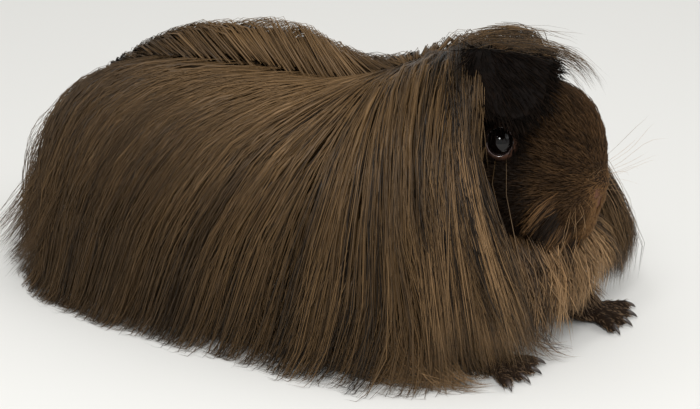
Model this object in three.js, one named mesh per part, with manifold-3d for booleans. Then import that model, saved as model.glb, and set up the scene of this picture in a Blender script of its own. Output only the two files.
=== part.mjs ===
// A long-haired guinea pig sitting still, at life size, in millimetres.
// It faces -Y with its left side at +X, and it stands on the floor at z = 0.
// The coat is modelled whole, out to the tips of the hair, and then parted with thin cuts.
import * as THREE from "three";
import { mergeVertices } from "three/addons/utils/BufferGeometryUtils.js";
import Module from "manifold-3d";

// ---- driving dimensions, mm ----
const GAP = 0.35; // clearance between neighbouring pieces
const NECK_Y = -46; // cut between the neck and the trunk
const RUMP_Y = 50; // cut between the trunk and the rump
const SWEEP_Z = 36; // above this the coat belongs to the body, below it hangs free
const BELLY_Z = 13; // height of the belly over the floor
const SPACE = 400; // larger than the whole animal
const CRUMB = 0.05; // details smaller than this are cleared after the cuts

// ---- the coat: half width and height at stations along the back, from chest to rump ----
const COAT = {
  stations: [
    // y, half width at the hem, height of the back
    { y: -99, half: 28, top: 42 },
    { y: -93, half: 43, top: 60 },
    { y: -82, half: 56, top: 88 },
    { y: -69, half: 67, top: 111 },
    { y: -54, half: 71, top: 112 },
    { y: -36, half: 70, top: 101 },
    { y: -10, half: 67, top: 92 },
    { y: 20, half: 65, top: 89 },
    { y: 50, half: 61, top: 89 },
    { y: 78, half: 56, top: 87 },
    { y: 101, half: 44, top: 77 },
    { y: 118, half: 27, top: 59 },
    { y: 125, half: 13, top: 40 },
  ],
  sidePower: 2.5,
  topPower: 2.3,
  blunt: 9, // how suddenly the two ends close
  crowding: 0.55, // how much closer the rings stand at the ends
  rings: 38,
  sides: 32,
  crown: 0.78, // share of the sides that lies above the floor
};
const PARTING = { depth: 4, half: 5, from: -52, to: 84 }; // groove along the spine
const TUFTS = [
  // places where the hair stands up beside the parting, most of it on the left
  { x: 21, y: 24, rise: 17, wide: 17, long: 24 },
  { x: 20, y: 62, rise: 10, wide: 15, long: 20 },
  { x: -22, y: 20, rise: 3, wide: 16, long: 50 },
];
const LOCKS = { depth: 3, pitch: 30, lean: 0.3, high: 45 }; // broad locks that scallop the hem

// ---- the two curtains of hair that frame the face ----
const CURTAIN = {
  path: [
    // outward, y, z
    [15, -58, 98],
    [27, -64, 92],
    [34, -73, 69],
    [38, -85, 47],
    [38, -94, 30],
    [35, -97, 16],
  ],
  thick: [5, 10, 13, 16, 15, 9],
  deep: [6, 14, 16, 17, 18, 12],
  reach: { right: 0, left: 6 }, // how much further forward the hair of each side falls
};

// ---- the head ----
const HEAD = {
  path: [
    [0, -50, 84],
    [0, -62, 84],
    [0, -76, 80],
    [0, -90, 75.5],
    [0, -101, 70.5],
    [0, -110, 66],
    [0, -117.5, 61],
  ],
  half: [20, 24, 25, 23.5, 21.5, 18, 13],
  rise: [26, 30, 31, 28.5, 23, 16.5, 11],
  drop: [26, 32, 34, 32, 30, 26, 18],
  rings: 15,
  sides: 20,
};
const EYE = { radius: 5.8, x: 19.4, y: -83.5, z: 85 };
const EAR = {
  root: [13, -82, 98], // where the ear leaves the skull
  rise: { right: 13.5, left: 4 }, // the right ear is carried higher
  bend: 6.5, // radius of the fold that lets the ear hang over
  fold: 2.7, // how far it folds, radians
  long: { right: 47, left: 36 },
  wide: 29,
  thick: 2.2,
  turn: 0.12, // how far the flap turns to the front, radians
};

// ---- the legs ----
const TOE_SPREAD = 7; // how far apart the toes start, mm for each radian of bearing
const TOE_START = 0.45; // where along the palm they start
const FORE = {
  right: { foot: [-36, -88.5], heading: 0.12 },
  left: { foot: [21.5, -106], heading: -0.1 },
  shoulder: [29, -66, 46],
  toes: [-0.62, -0.2, 0.2, 0.6],
  palm: { half: 7.4, long: 8.5, high: 5.4 },
};
const HIND = {
  right: { foot: [-31, 44], heading: 0.2 },
  left: { foot: [31, 46], heading: -0.2 },
  hip: [29, 62, 44],
  toes: [-0.34, 0, 0.34],
  palm: { half: 7.6, long: 15, high: 5.6 },
};
const TOE = { long: 10.5, radius: 2.3 };
const CLAW = { long: 5.6, radius: 1.25, droop: 2.0, clear: 0.4 };

const SIDES = ["left", "right"];
const signOf = { left: 1, right: -1 };

// ---- finishes ----
const finish = (color, roughness) =>
  new THREE.MeshStandardMaterial({ color, roughness, metalness: 0 });
const COAT_HAIR = finish(0x46372a, 0.6);
const FACE_HAIR = finish(0x32261c, 0.75);
const BARE_SKIN = finish(0x241a17, 0.65);
const FOOT_SKIN = finish(0x2a1f19, 0.6);
const CLAW_HORN = finish(0x1b1411, 0.35);
const EYE_GLOSS = finish(0x070606, 0.08);

// ---- solids ----
const wasm = await Module();
wasm.setup();

function solid(geometry) {
  const bare = new THREE.BufferGeometry();
  bare.setAttribute("position", geometry.getAttribute("position").clone());
  if (geometry.index) bare.setIndex(geometry.index.clone());
  const merged = mergeVertices(bare, 1e-4);
  const mesh = new wasm.Mesh({
    numProp: 3,
    vertProperties: merged.getAttribute("position").array,
    triVerts: new Uint32Array(merged.index.array),
  });
  return new wasm.Manifold(mesh);
}

function geometryOf(body) {
  const mesh = body.getMesh();
  const geometry = new THREE.BufferGeometry();
  geometry.setAttribute("position", new THREE.BufferAttribute(mesh.vertProperties, 3));
  geometry.setIndex(new THREE.BufferAttribute(mesh.triVerts, 1));
  geometry.computeVertexNormals();
  return geometry;
}

function block(low, high) {
  const size = high.map((value, axis) => value - low[axis]);
  const middle = high.map((value, axis) => (value + low[axis]) / 2);
  return solid(new THREE.BoxGeometry(...size).translate(...middle));
}

// A smooth curve through evenly spaced numbers, read at 0 to 1.
function blend(values) {
  const curve = new THREE.CatmullRomCurve3(values.map((value, i) => new THREE.Vector3(i, value, 0)));
  return (t) => curve.getPoint(t).y;
}

// A closed sphere whose rings are moved by place(t, angle), with t from 0 to 1 along it.
function warpedSphere(rings, sides, place) {
  const geometry = new THREE.SphereGeometry(1, sides, rings);
  const position = geometry.getAttribute("position");
  for (let i = 0; i < position.count; i += 1) {
    const ring = Math.floor(i / (sides + 1));
    const side = i % (sides + 1);
    const angle = side === sides ? 0 : (side / sides) * 2 * Math.PI;
    const spot = place(ring / rings, ring === 0 || ring === rings ? 0 : angle, ring);
    position.setXYZ(i, spot.x, spot.y, spot.z);
  }
  return solid(geometry);
}

// A rounded body along a path, with its half width, rise and drop at evenly spaced stations.
function loft({ path, half, rise, drop, rings = 12, sides = 14, blunt = 2.6, grow = 0, floor = null }) {
  const spine = new THREE.CatmullRomCurve3(path.map((point) => new THREE.Vector3(...point)));
  const halfAt = blend(half);
  const riseAt = blend(rise);
  const dropAt = blend(drop ?? rise);
  const up = new THREE.Vector3();
  const across = new THREE.Vector3();
  const lead = new THREE.Vector3(0, 0, 1);
  const first = spine.getTangent(0.5);
  if (Math.abs(first.z) > 0.8) lead.set(0, -1, 0);
  return warpedSphere(rings, sides, (t, angle, ring) => {
    const along = (1 - Math.cos(t * Math.PI)) / 2;
    const spot = spine.getPoint(along);
    const tangent = spine.getTangent(along);
    across.crossVectors(tangent, lead).normalize();
    up.crossVectors(across, tangent).normalize();
    spot.addScaledVector(tangent, grow * (2 * along - 1));
    if (ring === 0 || ring === rings) return spot;
    const cap = (1 - Math.abs(2 * along - 1) ** blunt) ** (1 / blunt);
    const tall = Math.sin(angle) > 0 ? riseAt(along) : dropAt(along);
    spot.addScaledVector(across, Math.cos(angle) * (halfAt(along) * cap + grow));
    spot.addScaledVector(up, Math.sin(angle) * (tall * cap + grow));
    if (floor !== null) spot.z = Math.max(spot.z, floor - (grow > 0 ? grow : 0));
    return spot;
  });
}

// ---- the coat ----
function hump(distance, width) {
  return Math.exp(-((distance / width) ** 2));
}

function coatDome() {
  const list = COAT.stations;
  const yAt = blend(list.map((station) => station.y));
  const halfAt = blend(list.map((station) => station.half));
  const topAt = blend(list.map((station) => station.top));
  return warpedSphere(COAT.rings, COAT.sides, (t, turn) => {
    const along = THREE.MathUtils.lerp(t, (1 - Math.cos(t * Math.PI)) / 2, COAT.crowding);
    const end = (1 - Math.abs(2 * along - 1) ** COAT.blunt) ** (1 / COAT.blunt);
    const y = yAt(along);
    const share = turn / (2 * Math.PI);
    const above = share < COAT.crown;
    const angle = above
      ? (share / COAT.crown) * Math.PI
      : (1 + (share - COAT.crown) / (1 - COAT.crown)) * Math.PI;
    const cos = Math.cos(angle);
    const sin = above ? Math.sin(angle) : 0;
    const x = Math.sign(cos) * Math.abs(cos) ** (2 / COAT.sidePower) * halfAt(along) * end;
    let z = sin ** (2 / COAT.topPower) * topAt(along) * end;
    if (sin > 0) {
      const open = THREE.MathUtils.smoothstep(y, PARTING.from, PARTING.from + 15);
      const shut = 1 - THREE.MathUtils.smoothstep(y, PARTING.to - 15, PARTING.to);
      z -= PARTING.depth * hump(x, PARTING.half) * open * shut;
      for (const tuft of TUFTS) z += tuft.rise * hump(x - tuft.x, tuft.wide) * hump(y - tuft.y, tuft.long);
    }
    const low = 1 - THREE.MathUtils.smoothstep(z, 0, LOCKS.high);
    const phase = ((y + LOCKS.lean * z) / LOCKS.pitch) * 2 * Math.PI;
    const scallop = (low * end * LOCKS.depth * (1 - Math.cos(phase + cos))) / 2;
    return new THREE.Vector3(x * (1 - scallop / halfAt(along)), y, Math.max(z, 0));
  });
}

function curtain(side) {
  const sign = signOf[side];
  const count = CURTAIN.path.length - 1;
  const path = CURTAIN.path.map(([x, y, z], i) => [
    sign * x,
    y - (CURTAIN.reach[side] * i) / count,
    z,
  ]);
  return loft({
    path,
    half: CURTAIN.thick,
    rise: CURTAIN.deep,
    rings: 14,
    sides: 14,
    blunt: 4,
  });
}

// The space inside the hanging coat: the flesh fills it down to the belly.
function core(grow, low) {
  const path = [
    [0, -92, 30],
    [0, -40, 30],
    [0, 20, 30],
    [0, 70, 30],
    [0, 104, 30],
  ];
  const body = loft({
    path,
    half: [26, 42, 44, 40, 24],
    rise: [60, 60, 60, 60, 60],
    rings: 9,
    sides: 12,
    blunt: 3,
    grow,
  });
  return body.intersect(block([-SPACE, -SPACE, low], [SPACE, SPACE, SWEEP_Z + 1]));
}

// ---- the head ----
const headSolid = (grow) =>
  loft({
    path: HEAD.path,
    half: HEAD.half,
    rise: HEAD.rise,
    drop: HEAD.drop,
    rings: HEAD.rings,
    sides: HEAD.sides,
    blunt: 3.2,
    grow,
  });

function eyeSolid(sign, grow) {
  const ball = new THREE.SphereGeometry(EYE.radius + grow, 14, 10);
  return solid(ball.translate(sign * EYE.x, EYE.y, EYE.z));
}

// A thin petal that rises from the skull, folds over and hangs down outside it.
function earSolid(side, grow) {
  const sign = signOf[side];
  const rise = EAR.rise[side];
  const long = EAR.long[side];
  return warpedSphere(11, 14, (t, turnOf, ring) => {
    const angle = sign * turnOf;
    const polar = t * Math.PI;
    const along = ((1 - Math.cos(polar)) / 2) * long;
    const spread = Math.sin(polar) ** 0.75 * (EAR.wide / 2 + grow);
    const ends = ring === 0 || ring === 11 ? 0 : 1;
    const across = Math.cos(angle) * spread * ends;
    const depth = Math.sin(angle) * (EAR.thick / 2 + grow) * Math.sin(polar) ** 0.4 * ends;
    const fold = Math.min(Math.max((along - rise) / EAR.bend, 0), EAR.fold);
    const rest = along - rise - fold * EAR.bend;
    const radius = EAR.bend + depth;
    const cup = 0.012 * across ** 2;
    const out = EAR.bend - radius * Math.cos(fold) + Math.sin(fold) * Math.max(rest, 0);
    const high = Math.min(along, rise) + radius * Math.sin(fold) + Math.cos(fold) * Math.max(rest, 0);
    const turn = (EAR.turn * along) / long;
    const forward = across * Math.cos(turn) + along * 0.22;
    const [x, y, z] = EAR.root;
    return new THREE.Vector3(sign * (x + out - cup * 0.4), y - forward, z + high - cup * 0.5);
  });
}

// ---- the legs ----
function footSpots(limb, side) {
  const sign = signOf[side];
  const { foot, heading } = limb[side];
  const cos = Math.cos(heading);
  const sin = Math.sin(heading);
  const turned = (forward, outward, z) => [
    foot[0] + outward * cos - forward * sin,
    foot[1] - forward * cos - outward * sin,
    z,
  ];
  return { sign, turned };
}

function toeSolid(limb, side, bearing, grow) {
  const { turned } = footSpots(limb, side);
  const start = limb.palm.long * TOE_START;
  const spread = bearing * TOE_SPREAD;
  const spot = (distance, z) =>
    turned(start + distance * Math.cos(bearing), spread + distance * Math.sin(bearing), z);
  return loft({
    path: [spot(-1, 3.2), spot(TOE.long * 0.45, 3.6), spot(TOE.long, 2.2)],
    half: [2.2, TOE.radius, TOE.radius * 0.8],
    rise: [2.2, TOE.radius, TOE.radius * 0.8],
    drop: [3.4, 3.8, 2.3],
    rings: 5,
    sides: 8,
    grow,
    floor: 0,
  });
}

function clawSolid(limb, side, bearing, grow) {
  const { turned } = footSpots(limb, side);
  const start = limb.palm.long * TOE_START + TOE.long * Math.cos(bearing);
  const drift = TOE.long * Math.sin(bearing) + bearing * TOE_SPREAD;
  const spot = (distance, z) =>
    turned(start + distance * Math.cos(bearing), drift + distance * Math.sin(bearing), z);
  return loft({
    path: [
      spot(-1.4, 2.9),
      spot(CLAW.long * 0.45, 3.1),
      spot(CLAW.long, 3.1 - CLAW.droop),
    ],
    half: [CLAW.radius, CLAW.radius * 0.8, CLAW.radius * 0.35],
    rise: [CLAW.radius, CLAW.radius * 0.9, CLAW.radius * 0.4],
    rings: 5,
    sides: 6,
    grow,
    floor: CLAW.clear,
  });
}

function legSolid(limb, side, grow) {
  const { sign, turned } = footSpots(limb, side);
  const joint = limb === FORE ? FORE.shoulder : HIND.hip;
  const { half, long, high } = limb.palm;
  const top = [sign * joint[0], joint[1], joint[2]];
  const ankle = turned(-long * 0.5, 0, 9);
  const elbow = top.map((value, axis) => (value + ankle[axis]) / 2 + (axis === 1 ? 4 : 0));
  const shaft = loft({
    path: [top, elbow, ankle, turned(-long * 0.2, 0, 4)],
    half: [13, 12, 8.5, 6.5],
    rise: [14, 12, 8.5, 5],
    rings: 7,
    sides: 11,
    grow,
    floor: 0,
  });
  const palm = loft({
    path: [turned(-long, 0, high * 0.55), turned(0, 0, high * 0.6), turned(long * 0.75, 0, high * 0.5)],
    half: [half * 0.7, half, half * 0.95],
    rise: [high * 0.5, high * 0.6, high * 0.45],
    drop: [high, high, high],
    rings: 7,
    sides: 11,
    grow,
    floor: 0,
  });
  return limb.toes.reduce(
    (body, bearing) => body.add(toeSolid(limb, side, bearing, grow)),
    shaft.add(palm),
  );
}

// ---- the whole animal, parted with thin cuts ----
const legs = [];
const claws = [];
for (const [name, limb] of [["foreleg", FORE], ["hindleg", HIND]]) {
  for (const side of SIDES) {
    let body = legSolid(limb, side, 0);
    let room = legSolid(limb, side, GAP);
    limb.toes.forEach((bearing, index) => {
      const claw = clawSolid(limb, side, bearing, 0);
      const toeEnd = toeSolid(limb, side, bearing, GAP);
      room = room.add(clawSolid(limb, side, bearing, GAP));
      claws.push({ name: `claw_${name}_${side}_${index + 1}`, body: claw.subtract(toeEnd) });
    });
    legs.push({ name: `${name}_${side}`, body, room });
  }
}

const eyes = SIDES.map((side) => ({ name: `eye_${side}`, body: eyeSolid(signOf[side], 0) }));
const eyeRoom = SIDES.map((side) => eyeSolid(signOf[side], GAP));
const ears = SIDES.map((side) => ({ name: `ear_${side}`, body: earSolid(side, 0) }));
const earRoom = SIDES.map((side) => earSolid(side, GAP));
const cutAll = (body, rooms) => rooms.reduce((rest, room) => rest.subtract(room), body);

const head = cutAll(headSolid(0), [...eyeRoom, ...earRoom]);
const coat = cutAll(coatDome().add(curtain("left")).add(curtain("right")), [
  headSolid(GAP),
  ...eyeRoom,
  ...earRoom,
  ...legs.map((leg) => leg.room),
]);

const body = coat
  .intersect(block([-SPACE, -SPACE, SWEEP_Z], [SPACE, SPACE, SPACE]))
  .add(coat.intersect(core(0, BELLY_Z)));
const hanging = coat
  .subtract(block([-SPACE, -SPACE, SWEEP_Z - GAP], [SPACE, SPACE, SPACE]))
  .subtract(core(GAP, -1));

const region = (x, y) => block([x[0], y[0], -1], [x[1], y[1], SPACE]);
const half = GAP / 2;
const everyX = [-SPACE, SPACE];
const bodyParts = [
  ["neck", everyX, [-SPACE, NECK_Y - half]],
  ["trunk", everyX, [NECK_Y + half, RUMP_Y - half]],
  ["rump", everyX, [RUMP_Y + half, SPACE]],
].map(([name, x, y]) => ({ name, body: body.intersect(region(x, y)) }));
const sweepParts = [
  ["breast_left", [half, SPACE], [-SPACE, NECK_Y - half]],
  ["breast_right", [-SPACE, -half], [-SPACE, NECK_Y - half]],
  ["flank_left", [half, SPACE], [NECK_Y + half, RUMP_Y - half]],
  ["flank_right", [-SPACE, -half], [NECK_Y + half, RUMP_Y - half]],
  ["train", everyX, [RUMP_Y + half, SPACE]],
].map(([name, x, y]) => ({ name: `sweep_${name}`, body: hanging.intersect(region(x, y)) }));

// Keeps the one main body where a cut leaves crumbs and slivers beside it.
const clean = (whole) =>
  whole
    .decompose()
    .sort((a, b) => b.volume() - a.volume())[0]
    .simplify(CRUMB);

// ---- the scene graph ----
const guineaPig = new THREE.Group();
function place(pieces, material) {
  for (const { name, body: piece } of pieces) {
    const mesh = new THREE.Mesh(geometryOf(clean(piece)), material);
    mesh.name = name;
    guineaPig.add(mesh);
  }
}
place([...bodyParts, ...sweepParts], COAT_HAIR);
place([{ name: "head", body: head }], FACE_HAIR);
place(ears, BARE_SKIN);
place(eyes, EYE_GLOSS);
place(legs, FOOT_SKIN);
place(claws, CLAW_HORN);

const box = new THREE.Box3().setFromObject(guineaPig);
guineaPig.position.set(-(box.min.x + box.max.x) / 2, -(box.min.y + box.max.y) / 2, 0);

export default guineaPig;
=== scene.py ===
"""The looks of a long-haired guinea pig: skin, eyes, claws and a coat grown lock by lock.

Lengths are in millimetres until a mesh is made. The animal faces -Y, with its left side at +X.
"""

import math

import bpy
import numpy as np
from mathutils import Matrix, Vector
from mathutils.bvhtree import BVHTree
from mathutils.kdtree import KDTree


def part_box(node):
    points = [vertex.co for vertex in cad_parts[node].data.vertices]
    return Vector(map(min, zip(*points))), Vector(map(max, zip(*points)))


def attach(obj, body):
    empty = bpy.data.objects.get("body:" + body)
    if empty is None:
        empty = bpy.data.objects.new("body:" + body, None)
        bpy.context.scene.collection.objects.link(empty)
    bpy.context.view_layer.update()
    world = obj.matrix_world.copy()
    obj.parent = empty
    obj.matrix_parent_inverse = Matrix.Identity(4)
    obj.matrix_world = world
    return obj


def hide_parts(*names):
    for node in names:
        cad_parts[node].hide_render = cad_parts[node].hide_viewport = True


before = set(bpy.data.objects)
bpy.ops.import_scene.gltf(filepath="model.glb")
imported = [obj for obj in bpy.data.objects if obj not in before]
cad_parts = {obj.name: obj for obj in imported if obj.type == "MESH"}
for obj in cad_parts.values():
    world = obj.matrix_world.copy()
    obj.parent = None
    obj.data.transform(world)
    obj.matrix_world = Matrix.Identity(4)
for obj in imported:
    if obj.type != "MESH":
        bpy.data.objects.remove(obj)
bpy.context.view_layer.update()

MM = 0.001
SEED = 7


def amount(full):
    return full


# ---- camera and light ----
CAMERA = {
    "azimuth": -65.0,
    "elevation": 23.0,
    "distance": 0.95,
    "target": (0.0322, 0.0012, 0.0249),
    "lens": 119.7,
}
FLOOR_SIZE = 6.0
FLOOR_COLOR = (0.775, 0.77, 0.745)
SKY_COLOR = (1.0, 1.0, 0.99)
SKY_STRENGTH = 0.70
LAMPS = {  # place in metres, width of the disk, watts
    "key": ((-0.72, -0.05, 1.12), 0.27, 2.6),
    "fill": ((0.15, -1.05, 0.9), 0.8, 2.6),
    "window": ((-0.72, -0.36, 0.73), 0.24, 5.4),
}
LAMP_TARGET = (0.0, 0.0, 0.05)


# =====================================================================
# places read from the frame
# =====================================================================
def corners(node):
    """The low and high corner of a node's box, in mm."""
    low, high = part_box(node)
    return np.array(low) / MM, np.array(high) / MM


def middle(node):
    """The centre of a node's box, in mm."""
    low, high = corners(node)
    return (low + high) / 2


SIDES = {"left": 1.0, "right": -1.0}
EYES = {side: middle("eye_" + side) for side in SIDES}
EYE_RADIUS = float(np.ptp(np.stack(corners("eye_left")), axis=0)[0]) / 2
MID_X = float(EYES["left"][0] + EYES["right"][0]) / 2
EYE_OUT = float(EYES["left"][0]) - MID_X
EYE_Y = float(EYES["left"][1])
EYE_Z = float(EYES["left"][2])
CLAWS = sorted(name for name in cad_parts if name.startswith("claw_"))
COAT_NODES = ["neck", "trunk", "rump"] + sorted(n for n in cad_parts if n.startswith("sweep_"))


# =====================================================================
# sums that all pieces share
# =====================================================================
TINY = 1e-9


def unit(v):
    """Directions of length one, along the last axis."""
    return v / (np.linalg.norm(v, axis=-1, keepdims=True) + TINY)


def across_from(v, normal):
    """What is left of each v when its part along the normal is taken away."""
    return v - (v * normal).sum(1, keepdims=True) * normal


def smooth_min(a, b, k):
    """The lower of two values, rounded off where they meet; k is how widely."""
    h = np.clip(0.5 + 0.5 * (b - a) / k, 0.0, 1.0)
    return b + (a - b) * h - k * h * (1.0 - h)


def smooth_max(a, b, k):
    """The higher of two values, rounded off where they meet."""
    return -smooth_min(-a, -b, k)


def smooth_step(x, low, high):
    """Goes from 0 at low to 1 at high, level at both."""
    t = np.clip((x - low) / (high - low), 0.0, 1.0)
    return t * t * (3.0 - 2.0 * t)


def bell(x, middle_at, reach):
    """One at the middle, falling off smoothly to either side."""
    return np.exp(-(((x - middle_at) / reach) ** 2))


# =====================================================================
# distance fields: each takes points as (x, y, z), with x counted from the middle of the body
# =====================================================================

def ellipsoid(p, centre, radii):
    """About how far each point is outside an ellipsoid."""
    q = [(p[i] - centre[i]) / radii[i] for i in range(3)]
    near = np.sqrt(q[0] ** 2 + q[1] ** 2 + q[2] ** 2)
    steep = np.sqrt((q[0] / radii[0]) ** 2 + (q[1] / radii[1]) ** 2 + (q[2] / radii[2]) ** 2)
    return near * (near - 1.0) / (steep + 1e-6)


def limb(p, start, end, start_radius, end_radius):
    """A rod with round ends that narrows along its way."""
    line = np.subtract(end, start)
    along = sum((p[i] - start[i]) * line[i] for i in range(3)) / float(line @ line)
    along = np.clip(along, 0.0, 1.0)
    away = sum((p[i] - start[i] - along * line[i]) ** 2 for i in range(3))
    return np.sqrt(away) - (start_radius + (end_radius - start_radius) * along)


# middle (outward, y, z), radii, softness of the join
SKULL = [
    ((0, -71, 80), (21, 27, 22), 6),  # cranium
    ((0, -94, 80.5), (17, 21, 20.5), 6),  # bridge of the nose
    ((0, -101.5, 69), (14.5, 15.5, 19), 5),  # muzzle
    ((9, -86, 64), (12, 17, 17), 5),  # cheek
    ((6.2, -107, 60.5), (7.2, 8.2, 8.5), 3),  # whisker pad
    ((0, -105.5, 50.5), (8, 7, 6.5), 3),  # chin
    ((0, -88, 56), (17, 24, 15), 6),  # jaw and throat
    ((0, -113.2, 67), (4.8, 5.2, 5), 2.5),  # nose
]
BODY = [
    ((0, -46, 58), (34, 30, 38), 10),  # neck
    ((0, -30, 50), (38, 34, 39), 12),  # shoulders
    ((0, 14, 48), (42, 60, 34), 12),  # belly
    ((0, 62, 48), (39, 42, 35), 12),  # rump
    ((0, -70, 40), (24, 22, 26), 8),  # chest
]
FLESH_JOIN = 12.0
LID = {"thick": 1.25, "open": (4.8, 5.4), "join": 3.4, "edge": 0.5, "back": 0.4, "gap": 0.12}
EYE_AXIS = np.array([0.905, -0.36, 0.225])
NOSTRIL = (4.0, -115.0, 64.4)
NOSTRIL_END = (5.6, -112.4, 65.6)
GROOVE = [(0, -119.4, 64.5), (0, -117.0, 56.0)]  # from the nose down to the mouth
MOUTH = [(0, -115.6, 55.2), (5.5, -112.2, 52.6), (9.5, -105.5, 50.2)]


def eye_axes():
    """The way that the left eye looks, and the directions ahead and up across it."""
    out = unit(EYE_AXIS)
    ahead = unit(np.array([0.0, -1.0, 0.0]) + out * out[1])
    up = np.cross(ahead, out)
    up *= np.sign(up[2])
    return out, ahead, up


def lumps(p, rows):
    """Ellipsoids that run into one another."""
    field = ellipsoid(p, *rows[0][:2])
    for centre, radii, soft in rows[1:]:
        field = smooth_min(field, ellipsoid(p, centre, radii), soft)
    return field


def flesh(p):
    """The head and body, without ears, legs or the openings of the face."""
    return smooth_min(lumps((np.abs(p[0]), p[1], p[2]), SKULL), lumps(p, BODY), FLESH_JOIN)


def flesh_at(points):
    """How far each point is outside the flesh, below 0 inside it."""
    return flesh((points[..., 0] - MID_X, points[..., 1], points[..., 2]))


def face_openings(p, field):
    """Adds the lids round each eye and cuts the eye, the nostrils, the groove below them and the mouth."""
    q = (np.abs(p[0]), p[1], p[2])
    d = (q[0] - EYE_OUT, q[1] - EYE_Y, q[2] - EYE_Z)
    reach = np.sqrt(d[0] ** 2 + d[1] ** 2 + d[2] ** 2)
    along_out, along_ahead, along_up = (sum(d[i] * way[i] for i in range(3)) for way in eye_axes())
    field = smooth_min(field, reach - (EYE_RADIUS + LID["thick"]), LID["join"])
    wide, tall = LID["open"]
    slit = (np.sqrt((along_ahead / wide) ** 2 + (along_up / tall) ** 2) - 1.0) * tall
    slit = smooth_max(slit, -along_out, LID["back"])
    field = smooth_max(field, -slit, LID["edge"])
    field = np.maximum(field, -(reach - EYE_RADIUS - LID["gap"]))
    field = smooth_max(field, -limb(q, NOSTRIL, NOSTRIL_END, 1.0, 0.7), 0.6)
    field = smooth_max(field, -limb(q, *GROOVE, 0.9, 0.8), 0.8)
    for start, end in zip(MOUTH, MOUTH[1:]):
        field = smooth_max(field, -limb(q, start, end, 0.75, 0.75), 0.9)
    return field


# ---- ears ----
EAR = {
    "root": (13.0, -81.5, 98.0),
    "back": {"right": 0.0, "left": 8.0},
    "rise": {"right": 14.0, "left": 2.0},
    "bend": 7.0,
    "fold": 2.7,
    "long": {"right": 49.0, "left": 25.0},
    "wide": {"right": 31.0, "left": 17.0},
    "thick": 0.95,
    "turn": 0.12,
    "crinkle": 0.7,
    "cup": 0.012,
    "advance": {"right": 0.2, "left": 0.08},
}


def ear_sheet(side, across_count=17, along_count=33):
    """The middle of the ear: a petal that rises, folds over and hangs down, as rows of points."""
    rise, long = EAR["rise"][side], EAR["long"][side]
    t = np.linspace(0.0, 1.0, along_count)[:, None]
    s = np.linspace(-1.0, 1.0, across_count)[None, :]
    along = t * long + 0 * s
    half = np.sin(np.clip(np.arccos(1 - 2 * t), 0.18, math.pi)) ** 0.75 * EAR["wide"][side] / 2
    across = s * half
    fold = np.clip((along - rise) / EAR["bend"], 0.0, EAR["fold"])
    rest = np.maximum(along - rise - fold * EAR["bend"], 0.0)
    crinkle = EAR["crinkle"] * np.sin(s * 9.0 + t * 7.0) * t * np.abs(s) ** 1.5
    cup = EAR["cup"] * across**2
    out = EAR["bend"] * (1.0 - np.cos(fold)) + np.sin(fold) * rest + crinkle
    high = np.minimum(along, rise) + EAR["bend"] * np.sin(fold) + np.cos(fold) * rest
    forward = across * np.cos(EAR["turn"] * t) + along * EAR["advance"][side]
    x0, y0, z0 = EAR["root"]
    y0 += EAR["back"][side]
    x = SIDES[side] * (x0 + out - cup * 0.4)
    return np.stack([x, y0 - forward, z0 + high - cup * 0.5], -1)


# ---- legs ----
FORE = {
    "right": {"foot": (-36.0, -88.0), "heading": 0.12},
    "left": {"foot": (21.5, -105.5), "heading": -0.1},
    "shoulder": (27.0, -62.0, 42.0),
    "palm": (6.3, 8.4, 4.2),
    "wrist": 7.0,
}
HIND = {
    "right": {"foot": (-31.0, 44.5), "heading": 0.2},
    "left": {"foot": (31.0, 46.5), "heading": -0.2},
    "shoulder": (26.0, 58.0, 40.0),
    "palm": (6.6, 14.0, 4.4),
    "wrist": 8.0,
}
LEGS = {"foreleg": FORE, "hindleg": HIND}
SHOULDER_RADIUS = 12.0
WRIST_HEIGHT = 9.0
TOE_RADIUS = 2.15
TOE_HEIGHTS = (3.7, 2.7)  # of its knuckle and its tip
CLAW_SHOWS = 2.4  # mm from the toe's end to the middle of its claw


def turned(p, at, heading):
    """Points as seen from a foot: outward, ahead (towards -Y) and up."""
    dx, dy = p[0] - at[0], p[1] - at[1]
    cos, sin = math.cos(heading), math.sin(heading)
    return cos * dx + sin * dy, -sin * dx + cos * dy, p[2]


def leg_field(p, limb_name, side):
    """A leg from the shoulder or hip to the toes, each toe aimed at its claw."""
    leg = LEGS[limb_name]
    x, y = leg[side]["foot"]
    x -= MID_X
    sx, sy, sz = leg["shoulder"]
    half, long, high = leg["palm"]
    heel = y + 0.55 * long
    shoulder, wrist = (SIDES[side] * sx, sy, sz), (x, heel, WRIST_HEIGHT)
    field = limb(p, shoulder, wrist, SHOULDER_RADIUS, leg["wrist"])
    palm = ellipsoid(turned(p, (x, y), leg[side]["heading"]), (0, 0, high * 0.86), (half, long, high))
    field = smooth_min(field, palm, 4.0)
    for name in CLAWS:
        if not name.startswith(f"claw_{limb_name}_{side}_"):
            continue
        tip = middle(name) - (MID_X, 0, 0)
        line = unit(tip - (x, y, tip[2]))
        end = tip - CLAW_SHOWS * line
        knuckle = (x + line[0] * long * 0.62, y + line[1] * long * 0.62, TOE_HEIGHTS[0])
        toe = limb(p, knuckle, (end[0], end[1], TOE_HEIGHTS[1]), TOE_RADIUS + 0.35, TOE_RADIUS)
        field = smooth_min(field, toe, 1.1)
    return field


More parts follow.
